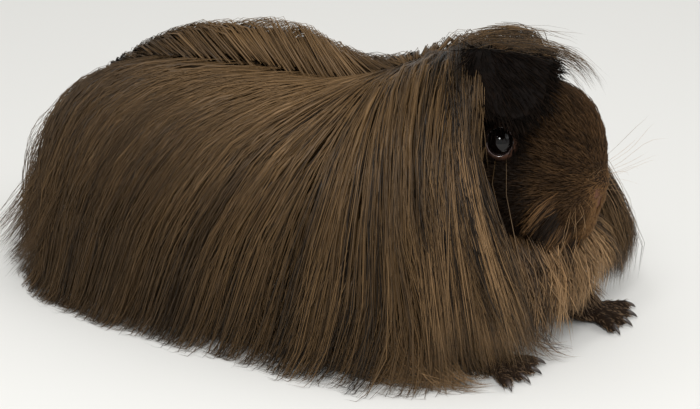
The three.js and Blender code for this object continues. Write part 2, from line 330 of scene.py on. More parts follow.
# =====================================================================
# meshes
# =====================================================================
def mesh_object(name, points, loops, starts, material, values=None, uv=None):
    """A mesh from arrays: points in mm, the corners of all faces in a row and where each face starts."""
    mesh = bpy.data.meshes.new(name)
    mesh.vertices.add(len(points))
    mesh.vertices.foreach_set("co", (np.asarray(points, np.float32) * MM).ravel())
    mesh.loops.add(len(loops))
    mesh.loops.foreach_set("vertex_index", np.asarray(loops, np.int32))
    mesh.polygons.add(len(starts))
    mesh.polygons.foreach_set("loop_start", np.asarray(starts, np.int32))
    mesh.update(calc_edges=True)
    mesh.polygons.foreach_set("use_smooth", np.full(len(starts), True))
    for key, found in (values or {}).items():
        layer = mesh.attributes.new(key, "FLOAT", "POINT")
        layer.data.foreach_set("value", np.asarray(found, np.float32))
    if uv is not None:
        layer = mesh.uv_layers.new(name="OFBake")
        layer.uv.foreach_set("vector", np.asarray(uv, np.float32)[loops].ravel())
    mesh.materials.append(material)
    thing = bpy.data.objects.new(name, mesh)
    bpy.context.scene.collection.objects.link(thing)
    return thing


NO_FANS = np.empty((0, 3), int)


def shell(name, points, quads, material, fans=NO_FANS, values=None):
    """A mesh from four-sided faces and the three-sided ones that close its ends."""
    loops = np.concatenate([quads.ravel(), fans.ravel()])
    starts = np.concatenate([np.arange(len(quads)) * 4, len(quads) * 4 + np.arange(len(fans)) * 3])
    return mesh_object(name, points, loops, starts, material, values)


def bands(rows):
    """Four-sided faces between rows of point numbers, each row a closed ring."""
    after = np.roll(rows, -1, 1)
    return np.stack([rows[:-1], rows[1:], after[1:], after[:-1]], -1).reshape(-1, 4)


def rings_round(line, across, lift, radii, sides, first_angle=0.0):
    """A ring of points round each point of a line; lift and across are the ring's own directions."""
    turn = first_angle + 2 * math.pi * np.arange(sides) / sides
    return line[:, None] + radii * (
        np.cos(turn)[None, :, None] * across[:, None] + np.sin(turn)[None, :, None] * lift[:, None]
    )


def surface_net(values, axes):
    """The closed surface where a field on a grid is zero, as points and four-sided faces."""
    inside = values < 0
    shape = tuple(n - 1 for n in values.shape)
    total = np.zeros(shape + (3,), np.float32)
    count = np.zeros(shape, np.float32)
    quads, crossings = [], []
    for axis in range(3):
        low, high = [slice(None)] * 3, [slice(None)] * 3
        low[axis], high[axis] = slice(0, -1), slice(1, None)
        low, high = tuple(low), tuple(high)
        a, b = values[low], values[high]
        crossed = inside[low] != inside[high]
        share = np.where(crossed, a / np.where(crossed, a - b, 1.0), 0.0)
        crossings.append((crossed, inside[low]))
        others = [i for i in range(3) if i != axis]
        spots = []
        for i in range(3):
            line = axes[i]
            view = [None] * 3
            view[i] = slice(None)
            if i == axis:
                spot = line[:-1][tuple(view)] + share * np.diff(line)[tuple(view)]
            else:
                spot = np.broadcast_to(line[tuple(view)], crossed.shape)
            spots.append(np.where(crossed, spot, 0.0))
        for first in (0, 1):
            for second in (0, 1):
                cut = [slice(None)] * 3
                cut[others[0]] = slice(first, first + shape[others[0]])
                cut[others[1]] = slice(second, second + shape[others[1]])
                cut = tuple(cut)
                count += crossed[cut]
                for i in range(3):
                    total[..., i] += spots[i][cut]
    used = count > 0
    number = np.full(shape, -1, np.int64)
    number[used] = np.arange(int(used.sum()))
    points = total[used] / count[used][:, None]
    for axis in range(3):
        crossed, low_inside = crossings[axis]
        u, v = [(axis + 1) % 3, (axis + 2) % 3]
        at = np.argwhere(crossed)
        keep = (at[:, u] > 0) & (at[:, v] > 0) & (at[:, u] < shape[u]) & (at[:, v] < shape[v])
        at = at[keep]
        ring = []
        for du, dv in ((1, 1), (0, 1), (0, 0), (1, 0)):
            cell = at.copy()
            cell[:, u] -= du
            cell[:, v] -= dv
            ring.append(number[tuple(cell.T)])
        quad = np.stack(ring, 1)
        flip = ~low_inside[tuple(at.T)]
        quad[flip] = quad[flip][:, ::-1]  # so that it faces out
        quads.append(quad)
    return points, np.concatenate(quads)


def spaced(low, high, fine, coarse, spans):
    """Grid lines from low to high: fine steps inside the spans and coarse ones outside."""
    lines = [low]
    while lines[-1] < high:
        at = lines[-1]
        gap = min(max(a - at, at - b, 0.0) for a, b in spans)
        lines.append(at + min(coarse, fine + 0.3 * gap))
    return np.array(lines, np.float32)


SHEET_REACH = 14.0  # mm past which a sheet's distance isn't measured


def sheet_distance(sheet, axes_points):
    """Unsigned distance from grid points to a sheet given as rows of points."""
    rows, columns = sheet.shape[:2]
    index = np.arange(rows * columns).reshape(rows, columns)
    faces = np.stack([index[:-1, :-1], index[1:, :-1], index[1:, 1:], index[:-1, 1:]], -1)
    tree = BVHTree.FromPolygons(sheet.reshape(-1, 3).tolist(), faces.reshape(-1, 4).tolist())
    flat = np.stack(np.broadcast_arrays(*axes_points), -1).reshape(-1, 3)
    found = [tree.find_nearest(spot, SHEET_REACH)[3] for spot in flat.tolist()]
    found = np.array([SHEET_REACH if f is None else f for f in found], np.float32)
    return found.reshape(np.broadcast_shapes(*[a.shape for a in axes_points]))


SKIN_FINE = amount(0.75)  # steps of the skin's grid where it has detail, and elsewhere
SKIN_COARSE = 2.4
SKIN_GRID = [  # low end, high end, spans with detail
    (-52.0, 52.0, [(-34, 34)]),
    (-128.0, 112.0, [(-126, -66)]),
    (-1.4, 124.0, [(-2, 8), (42, 120)]),
]
SKIN_FLOOR = 0.35
EAR_JOIN, LEG_JOIN = 1.6, 3.0


def skin_arrays():
    """The skin as points and faces: flesh, face, ears, legs and toes in one closed surface."""
    xs, ys, zs = (spaced(low, high, SKIN_FINE, SKIN_COARSE, spans) for low, high, spans in SKIN_GRID)
    p = (xs[:, None, None], ys[None, :, None], zs[None, None, :])
    field = face_openings(p, flesh(p)).astype(np.float32)
    for limb_name in LEGS:
        for side in SIDES:
            field = smooth_min(field, leg_field(p, limb_name, side), LEG_JOIN)
    for side in SIDES:
        sheet = ear_sheet(side) - (MID_X, 0, 0)
        low, high = sheet.min((0, 1)) - 5, sheet.max((0, 1)) + 5
        cut = tuple(
            slice(int(np.searchsorted(line, a)), int(np.searchsorted(line, b)))
            for line, a, b in zip((xs, ys, zs), low, high)
        )
        window = (xs[cut[0], None, None], ys[None, cut[1], None], zs[None, None, cut[2]])
        ear = sheet_distance(sheet, window) - EAR["thick"]
        field[cut] = smooth_min(field[cut], ear, EAR_JOIN)
    field = np.maximum(field, SKIN_FLOOR - p[2] + 0 * field).astype(np.float32)
    points, quads = surface_net(field, (xs, ys, zs))
    points[:, 0] += MID_X
    return points, quads


# =====================================================================
# round-the-body coordinates: a straight axis on the floor, with a half ball at each end
# =====================================================================
AXIS_FRONT, AXIS_BACK = -86.0, 74.0
BALL = 46.0  # mm of unwrap for each radian round an end
LINES, TURNS = 181, 121  # cells of a table along the body and round it
SIDE_EDGE = 1.555  # the farthest angle that a table looks along
W_LOW = AXIS_FRONT - BALL * math.pi / 2
W_HIGH = AXIS_BACK + BALL * math.pi / 2


def aim(w, theta):
    """The axis point and outward direction at length w and angle theta (0 up, + to the left)."""
    foot = np.clip(w, AXIS_FRONT, AXIS_BACK)
    tip = (w - foot) / BALL
    out = np.stack([np.sin(theta) * np.cos(tip), np.sin(tip), np.cos(theta) * np.cos(tip)], -1)
    start = np.stack([np.full_like(foot, MID_X), foot, np.zeros_like(foot)], -1)
    return start, out


def coordinates(p):
    """The length and angle round the body at which each point stands."""
    x, y, z = p[..., 0] - MID_X, p[..., 1], p[..., 2]
    foot = np.clip(y, AXIS_FRONT, AXIS_BACK)
    level = np.hypot(x, z)
    return foot + np.arctan2(y - foot, level) * BALL, np.arctan2(x, z)


def read_map(table, w, theta):
    """A table over w and theta, read between its cells."""
    i = np.clip((w - W_LOW) / (W_HIGH - W_LOW), 0, 1) * (LINES - 1)
    j = np.clip((theta / math.pi) + 0.5, 0, 1) * (TURNS - 1)
    i0 = np.minimum(i.astype(int), LINES - 2)
    j0 = np.minimum(j.astype(int), TURNS - 2)
    fi, fj = i - i0, j - j0
    near = table[i0, j0] * (1 - fj) + table[i0, j0 + 1] * fj
    far = table[i0 + 1, j0] * (1 - fj) + table[i0 + 1, j0 + 1] * fj
    return near * (1 - fi) + far * fi


def blurred(table, rounds):
    """A table with each value mixed with its neighbours, rounds times."""
    for _ in range(rounds):
        for axis in (0, 1):
            padded = np.concatenate([np.take(table, [0], axis), table, np.take(table, [-1], axis)], axis)
            ahead = np.take(padded, range(2, padded.shape[axis]), axis)
            behind = np.take(padded, range(0, padded.shape[axis] - 2), axis)
            table = 0.5 * table + 0.25 * (ahead + behind)
    return table


def table_directions():
    """The ray for each place in the maps of the body."""
    w = np.linspace(W_LOW, W_HIGH, LINES)[:, None] + np.zeros((1, TURNS))
    theta = np.linspace(-math.pi / 2, math.pi / 2, TURNS)[None, :] + np.zeros((LINES, 1))
    return aim(w, np.clip(theta, -SIDE_EDGE, SIDE_EDGE))


COAT_FAR = 220.0  # mm from the axis at which the search for the coat starts
COAT_LIFT = 0.4
FLESH_STEP = 1.5


def coat_map():
    """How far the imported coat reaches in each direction."""
    points, faces = [], []
    for name in COAT_NODES:
        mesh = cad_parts[name].data
        base = len(points)
        points += [tuple(v.co / MM) for v in mesh.vertices]
        faces += [tuple(base + i for i in face.vertices) for face in mesh.polygons]
    tree = BVHTree.FromPolygons(points, faces)
    start, out = table_directions()
    table = np.zeros(start.shape[:2])
    for index in np.ndindex(table.shape):
        origin = Vector(start[index] + out[index] * COAT_FAR)
        origin.z += COAT_LIFT
        hit = tree.ray_cast(origin, Vector(-out[index]), COAT_FAR)
        table[index] = COAT_FAR - hit[3] if hit[0] is not None else 0.0
    return table


def flesh_map():
    """How far the flesh reaches in each direction, found by stepping outwards."""
    start, out = table_directions()
    table = np.zeros(start.shape[:2])
    for radius in np.arange(4.0, 135.0, FLESH_STEP):
        depth = flesh_at(start + out * radius)
        table = np.where(depth < 0, radius - np.clip(depth, -FLESH_STEP, 0), table)
    return table


# =====================================================================
# strands as meshes
# =====================================================================
LIMIT_LOW = np.array([-82.5, -136.0, -1.0])
LIMIT_HIGH = np.array([82.5, 141.5, 128.0])
LIMIT_SOFT = 5.0
FLOOR_GAP = 0.05
STRAND_SIDES = 3
OFBAKE_PATCH = 0.003


def kept_in(points):
    """Draws far points softly back into the room that the coat has, and keeps all above the floor."""
    over = np.maximum(points - (LIMIT_HIGH - LIMIT_SOFT), 0.0)
    under = np.maximum(LIMIT_LOW + LIMIT_SOFT - points, 0.0) * (1, 1, 0)
    points = points - over + LIMIT_SOFT * np.tanh(over / LIMIT_SOFT)
    points = points + under - LIMIT_SOFT * np.tanh(under / LIMIT_SOFT)
    points[:, 2] = np.maximum(points[:, 2], FLOOR_GAP)
    return points


def strand_mesh(name, paths, outward, widths, flat, tones, roots, material):
    """Closed tapered strands. paths is (strands, rings + 1, 3), and the last point of each is its tip."""
    n, m = paths.shape[:2]
    rings, sides = m - 1, STRAND_SIDES
    tangent = unit(np.gradient(paths, axis=1))
    across = unit(np.cross(tangent, outward))
    lift = np.cross(across, tangent)
    angles = math.pi / 2 + 2 * math.pi * np.arange(sides) / sides
    body = paths[:, :rings, None, :]
    half = widths[:, :rings, None, None] / 2
    ring = body + half * (
        np.cos(angles)[None, None, :, None] * across[:, :rings, None, :]
        + flat * np.sin(angles)[None, None, :, None] * lift[:, :rings, None, :]
    )
    points = np.concatenate([ring.reshape(n, rings * sides, 3), paths[:, rings:]], 1)
    each = rings * sides + 1
    corner = np.arange(rings * sides).reshape(rings, sides)
    walls = bands(corner)
    tips = np.stack([corner[-1], np.full(sides, each - 1), np.roll(corner[-1], -1)], -1)
    one = np.concatenate([walls.ravel(), tips.ravel(), corner[0]])
    loops = (np.arange(n) * each)[:, None] + one[None, :]
    sizes = np.concatenate([np.full(len(walls), 4), np.full(sides, 3), [sides]])
    starts = np.concatenate([[0], np.cumsum(np.tile(sizes, n))[:-1]])
    points = kept_in(points.reshape(-1, 3))
    steps = np.append(np.repeat(np.arange(rings), sides), rings) / rings
    turn = np.append(np.tile(np.arange(sides), rings), 0) / sides
    patch = np.stack([turn, steps], -1) * OFBAKE_PATCH
    uv = (roots[:, None, :] * (1 - OFBAKE_PATCH) + patch[None]).reshape(-1, 2)
    tones = np.broadcast_to(tones if tones.ndim == 2 else tones[:, None], (n, m))
    tones = np.concatenate([np.repeat(tones[:, :rings], sides, 1), tones[:, rings:]], 1)
    values = {"tone": tones.ravel(), "along": np.tile(steps, n)}
    return mesh_object(name, points, loops.ravel(), starts, material, values, uv)


# =====================================================================
# how the coat lies and grows
# =====================================================================
COMB_Y = [-118, -95, -80, -62, -45, -30, -20, 5, 40, 80, 115]
COMB = {  # how far the hair runs to the rear for each mm down, at four heights
    "right": {
        98: [0.0, -0.05, -0.05, -0.25, -0.2, 0.25, 1.1, 2.1, 2.4, 1.8, 0.6],
        74: [-0.3, -0.5, -0.3, -0.2, -0.1, 0.1, 0.35, 0.6, 0.65, 0.6, 0.3],
        44: [-0.7, -0.9, -0.7, -0.25, 0.0, 0.1, 0.2, 0.35, 0.4, 0.35, 0.2],
        8: [0.1, -0.5, -0.1, 0.35, 0.35, 0.3, 0.25, 0.3, 0.3, 0.3, 0.1],
    },
    "left": {
        98: [0.0, -0.05, -0.05, -0.1, 0.2, 0.7, 1.1, 1.4, 1.8, 1.8, 0.6],
        74: [-0.3, -0.4, -0.3, -0.1, 0.0, 0.1, 0.25, 0.4, 0.6, 0.6, 0.3],
        44: [-0.7, -0.8, -0.6, -0.2, 0.0, 0.1, 0.15, 0.25, 0.35, 0.35, 0.2],
        8: [0.1, -0.4, -0.1, 0.2, 0.3, 0.3, 0.25, 0.3, 0.3, 0.3, 0.1],
    },
}


def comb(y, z, side):
    """The comb table read at each y and z."""
    heights = sorted(COMB[side])
    rows = np.stack([np.interp(y, COMB_Y, COMB[side][h]) for h in heights])
    at = np.interp(z, heights, np.arange(len(heights)))
    low = np.minimum(at.astype(int), len(heights) - 2)
    share = at - low
    pick = np.arange(len(y))
    return rows[low, pick] * (1 - share) + rows[low + 1, pick] * share


def lie(p, out, side):
    """The direction that the coat lies in at each point: down, outwards from the parting and as combed."""
    down = across_from(np.array([0.0, 0.0, -1.0]), out)
    apart = across_from(np.array([SIDES[side], 0.0, 0.0]), out) * np.clip(out[:, 2:3], 0, 1) ** 3
    back = across_from(np.array([0.0, 1.0, 0.0]), out)
    return unit(down + apart + back * comb(p[:, 1], p[:, 2], side)[:, None])


STEP = 2.5
FLOOR_RUN = 9.5  # mm that the longest hair lies out over the floor
FLOOR_TOP = 0.6
FLOOR_NEAR = (2.0, 12.0)
PARTING = {"share": 0.72, "reach": 0.35}  # how high the coat starts at the parting, and how far round


def grow(maps, w, theta, side, layer, rise, splay, reach):
    """Grows strands over the coat from roots at w, theta. layer is how near the outside each one ends up."""
    inner, outer = maps
    start, out = aim(w, theta)
    low, high = read_map(inner, w, theta), read_map(outer, w, theta)
    first = PARTING["share"] * layer * bell(np.abs(theta), 0.0, PARTING["reach"])
    spot = start + out * (low + (high - low) * first)[:, None]
    path = [spot]
    creep = np.zeros(len(w))
    for step in range(1, int(reach / STEP) + 1):
        spot = spot + lie(spot, out, side) * STEP
        spot[:, 2] = np.maximum(spot[:, 2], FLOOR_TOP)
        near_floor = 1 - smooth_step(spot[:, 2], *FLOOR_NEAR)
        creep = np.minimum(creep + STEP * near_floor * splay, FLOOR_RUN * splay)
        at = coordinates(spot)
        start, out = aim(*at)
        low, high = read_map(inner, *at), read_map(outer, *at)
        share = first + (layer - first) * (1 - np.exp(-step * STEP / rise))
        spot = start + out * (low + (high - low) * share + creep)[:, None]
        path.append(spot)
    return np.stack(path, 1)


LOCK_CLOSES = (0.05, 0.75)  # shares of a strand between which it draws in to its lock


def gathered(paths, roots, locks, strength, tight, rng):
    """Draws each strand towards the path of the lock's leader nearest to its root."""
    leaders = rng.choice(len(paths), locks, replace=False)
    tree = KDTree(locks)
    for i, leader in enumerate(leaders):
        tree.insert((roots[leader, 0], roots[leader, 1], 0), i)
    tree.balance()
    near = np.array([tree.find((a, b, 0))[1] for a, b in roots.tolist()])
    lead = paths[leaders][near]
    t = np.linspace(0, 1, paths.shape[1])[None, :, None]
    pull = strength[:, None, None] * smooth_step(t, *LOCK_CLOSES) * (1 - tight * (1 - t))
    return paths + (lead - paths) * pull, near


BEND_WORTH = 90.0  # mm of strand that one radian of bend counts for when its points are shared out
ON_FLOOR = 1.6
RUN_FOR_SHARE = 10 * FLOOR_RUN  # mm along the floor for a share of one past the whole
SMOOTHINGS = 4


def lengths_along(gaps):
    """How far along its path each point stands, from the gaps between the points."""
    return np.concatenate([np.zeros((len(gaps), 1)), np.cumsum(gaps, 1)], 1)


def floor_share(paths, shares):
    """Where each path is cut: at a share of its way to the floor, or past 1 after a run along the floor."""
    n, m = paths.shape[:2]
    arc = lengths_along(np.linalg.norm(np.diff(paths, axis=1), axis=2))
    floor = paths[:, :, 2] < ON_FLOOR
    first = np.where(floor.any(1), floor.argmax(1), m - 1)
    stop = arc[np.arange(n), first] * np.minimum(shares, 1.0)
    stop += np.maximum(shares - 1.0, 0.0) * RUN_FOR_SHARE
    return arc, np.minimum(stop, arc[:, -1])


def bend_cosines(paths):
    """The cosine of the bend at each inner point of each path."""
    ways = unit(np.diff(paths, axis=1))
    return (ways[:, 1:] * ways[:, :-1]).sum(2)


def trimmed(paths, shares, rings):
    """Cuts each path near the floor, with its points closer together where it bends."""
    n = len(paths)
    for _ in range(SMOOTHINGS):
        paths[:, 1:-1] = 0.5 * paths[:, 1:-1] + 0.25 * (paths[:, :-2] + paths[:, 2:])
    arc, stop = floor_share(paths, shares)
    worth = np.diff(arc, axis=1)
    worth[:, 1:] += BEND_WORTH * np.arccos(np.clip(bend_cosines(paths), -1, 1))
    worth = lengths_along(worth)
    result = np.empty((n, rings + 1, 3))
    even = np.linspace(0, 1, rings + 1)
    for i in range(n):
        end = np.interp(stop[i], arc[i], worth[i])
        for axis in range(3):
            result[i, :, axis] = np.interp(even * end, worth[i], paths[i, :, axis])
    return result


FRIZZ = {"turns": (0.5, 0.95), "pace": (0.6, 1.3), "lift": 0.4, "grows": (0.0, 0.6)}


def frizzed(paths, outward, strength, rng):
    """Adds a slow random wave to each strand, growing towards its tip."""
    n, m = paths.shape[:2]
    t = np.linspace(0, 1, m)[None, :]
    across = np.cross(unit(np.gradient(paths, axis=1)), outward)
    waves = np.zeros((2, n, m))
    for turns in FRIZZ["turns"]:
        for i in range(2):
            phase = turns * t * rng.uniform(*FRIZZ["pace"], (n, 1)) + rng.random((n, 1))
            waves[i] += np.sin(2 * math.pi * phase) / turns
    size = strength[:, None] * smooth_step(t, *FRIZZ["grows"])
    aside, swell = waves[0] * size, FRIZZ["lift"] * np.abs(waves[1]) * size
    return paths + across * aside[..., None] + outward * swell[..., None]


WIDEST = (0.2, 0.6)  # shares of a strand between which it has its full width


def profile(widths, rings, root=0.6, tip=0.25):
    """Each strand's width at its rings, with root and tip as shares of the widest."""
    t = np.linspace(0, 1, rings + 1)
    swell = root + (1 - root) * smooth_step(t, 0, WIDEST[0])
    taper = 1 - (1 - tip) * smooth_step(t, WIDEST[1], 1.0)
    return widths[:, None] * (swell * taper)[None, :]


HAIRLINE_Z = (0, 30, 45, 62, 78, 90, 98, 104)
HAIRLINE_Y = (-100, -98, -92, -80, -73, -75, -82, -90)  # the long hair stops behind these
ROOT_EDGE = 1.45  # the lowest angle of a root from the parting
ROOT_MARGIN = (12, 6)  # mm without roots at the front and the rear end
CROWD = {"least": 0.68, "at": -32.0, "reach": 17.0}  # roots stand closest behind the ears


def hairline(z):
    """The y in front of which there is no long hair, at each height."""
    return np.interp(z, HAIRLINE_Z, HAIRLINE_Y)


def coat_roots(count, side, maps, rng, top_weight):
    """Random roots on one side of the body behind the hairline, denser near the parting."""
    found_w, found_theta = [], []
    while sum(map(len, found_w)) < count:
        w = rng.uniform(W_LOW + ROOT_MARGIN[0], W_HIGH - ROOT_MARGIN[1], count)
        theta = SIDES[side] * (rng.random(count) ** top_weight) * ROOT_EDGE
        start, out = aim(w, theta)
        spot = start + out * read_map(maps[0], w, theta)[:, None]
        keep = spot[:, 1] > hairline(spot[:, 2])
        crowd = CROWD["least"] + (1 - CROWD["least"]) * bell(w, CROWD["at"], CROWD["reach"])
        end = np.clip(np.cos((w - np.clip(w, AXIS_FRONT, AXIS_BACK)) / BALL), 0.05, 1)
        keep &= rng.random(count) < crowd * end
        found_w.append(w[keep])
        found_theta.append(theta[keep])
    return np.concatenate(found_w)[:count], np.concatenate(found_theta)[:count]


def unwrapped(w, theta):
    """Places on the unwrap of the body, both from 0 to 1."""
    return np.stack([(w - W_LOW) / (W_HIGH - W_LOW), theta / math.pi + 0.5], -1)


def fitted(places):
    """Places spread over the whole of an unwrap."""
    low, high = places.min(0), places.max(0)
    return (places - low) / np.maximum(high - low, TINY)


NOISE_WAVES, NOISE_FULL = 7, 3.2


def soft_noise(points, size, rng_seed):
    """Smooth random values from -1 to 1 over space, from a few waves."""
    rng = np.random.default_rng(rng_seed)
    total = np.zeros(len(points))
    for _ in range(NOISE_WAVES):
        wave = rng.normal(size=3)
        wave *= 2 * math.pi / (size * np.linalg.norm(wave)) * rng.uniform(0.6, 1.6)
        total += np.sin(points @ wave + rng.uniform(0, 2 * math.pi))
    return np.clip(total / NOISE_FULL, -1, 1)


# =====================================================================
# the long coat and the locks under it
# =====================================================================
TOP_LOFT = 3.2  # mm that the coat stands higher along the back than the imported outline
LEAST_COAT = 1.2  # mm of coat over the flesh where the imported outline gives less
# where the coat is lighter or darker: y, z, how far that reaches along y and z, and by how much; the marked
# rows are painted highlight and painted shade
SHADE_HIGHLIGHT_AND_TONE_SPOTS = [
    (-50, 70, 10, 60, 0.10),
    (-22, 40, 9, 40, -0.14),
    # painted highlight: lighter over the top of the shoulder, where the coat faces the light
    (-14, 84, 26, 16, 0.26),
    (8, 50, 12, 50, 0.06),
    (-88, 60, 13, 60, -0.22),
    (70, 50, 45, 60, -0.16),
    # painted highlight: lighter along the top of the back, lit from above
    (22, 102, 48, 18, 0.56),
    (-78, 14, 20, 22, 0.22),
    # painted shade: darker low on the flank, away from the light above
    (20, 10, 70, 22, -0.16),
]
TONE = {  # how much each cause changes a strand's tone, and where along y the changes grow faint
    "own": 0.06,
    "lock": 0.2,
    "drift": 0.27,
    "drift_size": 15.0,
    "drift_seed": 5,
    "drift_stretch": (1, 1, 0.35),
    "streaks": 0.1,
    "streak": (0.05, 0.3),
    "vivid": (1.2, 0.45),
    "fades": (-20.0, 50.0),
}
TONE_MIDDLE = 0.5


def strand_tones(paths, lock, rng, middle_tone=TONE_MIDDLE):
    """How light each strand is at each ring: its own share, its lock's, a slow drift along the body and the
    table's spots, some of which are painted highlight and painted shade.
    """
    n, m = paths.shape[:2]
    halfway = paths[:, m // 2] * TONE["drift_stretch"]
    full, faint = TONE["vivid"]
    vivid = full - (full - faint) * smooth_step(paths[:, m // 2, 1], *TONE["fades"])
    streak = np.where(rng.random(n) < TONE["streaks"], rng.uniform(*TONE["streak"], n), 0.0)
    change = TONE["lock"] * rng.normal(size=int(lock.max()) + 1)[lock]
    change = change + TONE["drift"] * soft_noise(halfway, TONE["drift_size"], TONE["drift_seed"])
    tone = middle_tone + TONE["own"] * rng.normal(size=n) + vivid * (streak + change)
    tones = np.repeat(tone[:, None], m, 1)
    for y, z, along_y, along_z, gain in SHADE_HIGHLIGHT_AND_TONE_SPOTS:
        tones += gain * bell(paths[..., 1], y, along_y) * bell(paths[..., 2], z, along_z)
    return np.clip(tones, 0, 1)


def outward_of(paths):
    """The way out of the body at each point of each path."""
    return aim(*coordinates(paths))[1]


BREAST_GAP = {"half": 24, "y": -90, "z": 30}  # the room between the forefeet, free of long hair
SHARP = {"cosine": 0.55, "z": 14, "y": -70}  # a bend that no strand makes near the head, above the floor


def well_laid(paths):
    """Which strands neither hang down between the forefeet nor turn sharply above the floor."""
    x, y, z = paths[:, -1].T
    between = (np.abs(x - MID_X) < BREAST_GAP["half"]) & (y < BREAST_GAP["y"]) & (z < BREAST_GAP["z"])
    _, y, z = np.moveaxis(paths[:, 1:-1], -1, 0)
    sharp = (bend_cosines(paths) < SHARP["cosine"]) & (z > SHARP["z"]) & (y < SHARP["y"])
    return np.flatnonzero(~between & ~sharp.any(1))


FINE_LOCK = ((0.3, 0.85), 0.3)  # how strongly a lock draws its strands in, and how tight it is at the root


def either(chance, first, second, rng, n):
    """Values from the first range for some of the strands and from the second for the others."""
    picked = rng.random(n) < chance
    return np.where(picked, rng.uniform(*first, n), rng.uniform(*second, n))


LONG = {
    "count": amount(15600),
    "rings": 7,
    "flat": 0.5,
    "to_parting": 1.25,
    "outer": (0.7, (0.95, 1.05), (0.6, 1.0)),
    "proud": (0.02, (1.03, 1.08)),
    "rise": (5, 12),
    "splay": (0.25, 1.0),
    "reach": 230.0,
    "broad_lock": (260, (0.15, 0.45), 0.95),
    "fine_lock": (12, *FINE_LOCK),
    "cut": (0.75, (0.98, 1.1), (0.55, 1.0)),
    "stray": (0.03, (1.2, 4.0), (0.2, 0.9)),
    "stray_width": 0.6,
    "width": (0.2, 0.46),
}
UNDER = {
    "count": amount(5600),
    "rings": 6,
    "flat": 0.3,
    "to_parting": 1.35,
    "deep": 0.35,
    "layer": ((0.5, 0.82), (0.84, 0.97)),
    "rise": (4, 10),
    "splay": 0.3,
    "reach": 225.0,
    "cut": ((0.9, 1.03), (0.86, 1.02)),
    "frizz": (0.2, 0.8),
    "width": ((2.4, 4.2), (1.0, 2.3)),
    "ends": (0.5, 0.12),
    "tone": 0.42,
    "deep_tone": -0.2,
}
THETA_WORTH = 60.0  # mm that a radian round the body counts for when locks are formed


def long_coat(side, maps, material, rng):
    """The long strands of one side in three pieces, with fine locks inside broad ones."""
    n, rings = LONG["count"] // 2, LONG["rings"]
    w, theta = coat_roots(n, side, maps, rng, LONG["to_parting"])
    layer = either(*LONG["outer"], rng, n)
    proud, proud_layer = LONG["proud"]
    layer = np.where(rng.random(n) < proud, rng.uniform(*proud_layer, n), layer)
    rise, splay = rng.uniform(*LONG["rise"], n), rng.uniform(*LONG["splay"], n)
    paths = grow(maps, w, theta, side, layer, rise, splay, LONG["reach"])
    roots = np.stack([w, theta * THETA_WORTH], -1)
    for strands, strength, tight in (LONG["broad_lock"], LONG["fine_lock"]):
        paths, lock = gathered(paths, roots, n // strands, rng.uniform(*strength, n), tight, rng)
    paths = trimmed(paths, either(*LONG["cut"], rng, n), rings)
    good = well_laid(paths)
    paths, w, theta, lock = (a[good] for a in (paths, w, theta, lock))
    n = len(paths)
    order = np.argsort(paths[:, 0, 1])
    outward = outward_of(paths)
    stray_share, stray_frizz, frizz = LONG["stray"]
    stray = rng.random(n) < stray_share
    strength = np.where(stray, rng.uniform(*stray_frizz, n), rng.uniform(*frizz, n))
    paths = frizzed(paths, outward, strength, rng)
    widths = rng.uniform(*LONG["width"], n) * np.where(stray, LONG["stray_width"], 1.0)
    widths = profile(widths, rings)
    tone = strand_tones(paths, lock, rng)
    made = []
    for name, part in zip(("mane", "flank", "rump"), np.array_split(order, 3)):
        places = fitted(unwrapped(w[part], theta[part]))
        hair = (paths[part], outward[part], widths[part], LONG["flat"], tone[part], places)
        made.append(strand_mesh(f"coat_{name}_{side}", *hair, material))
    return made


def under_coat(side, maps, material, rng):
    """Wider locks that fill the coat: some deep, most of them just below the long strands."""
    n, rings = UNDER["count"] // 2, UNDER["rings"]

    def by_depth(key):
        return np.where(deep, *(rng.uniform(*span, n) for span in UNDER[key]))

    w, theta = coat_roots(n, side, maps, rng, UNDER["to_parting"])
    deep = rng.random(n) < UNDER["deep"]
    layer = by_depth("layer")
    rise, splay = rng.uniform(*UNDER["rise"], n), UNDER["splay"] * rng.random(n)
    paths = grow(maps, w, theta, side, layer, rise, splay, UNDER["reach"])
    paths = trimmed(paths, by_depth("cut"), rings)
    good = well_laid(paths)
    paths, w, theta, deep = (a[good] for a in (paths, w, theta, deep))
    n = len(paths)
    outward = outward_of(paths)
    paths = frizzed(paths, outward, rng.uniform(*UNDER["frizz"], n), rng)
    widths = profile(by_depth("width"), rings, *UNDER["ends"])
    tone = strand_tones(paths, np.arange(n), rng, UNDER["tone"]) + UNDER["deep_tone"] * deep[:, None]
    places = fitted(unwrapped(w, theta))
    hair = (paths, outward, widths, UNDER["flat"], np.clip(tone, 0, 1), places)
    return strand_mesh(f"coat_under_{side}", *hair, material)


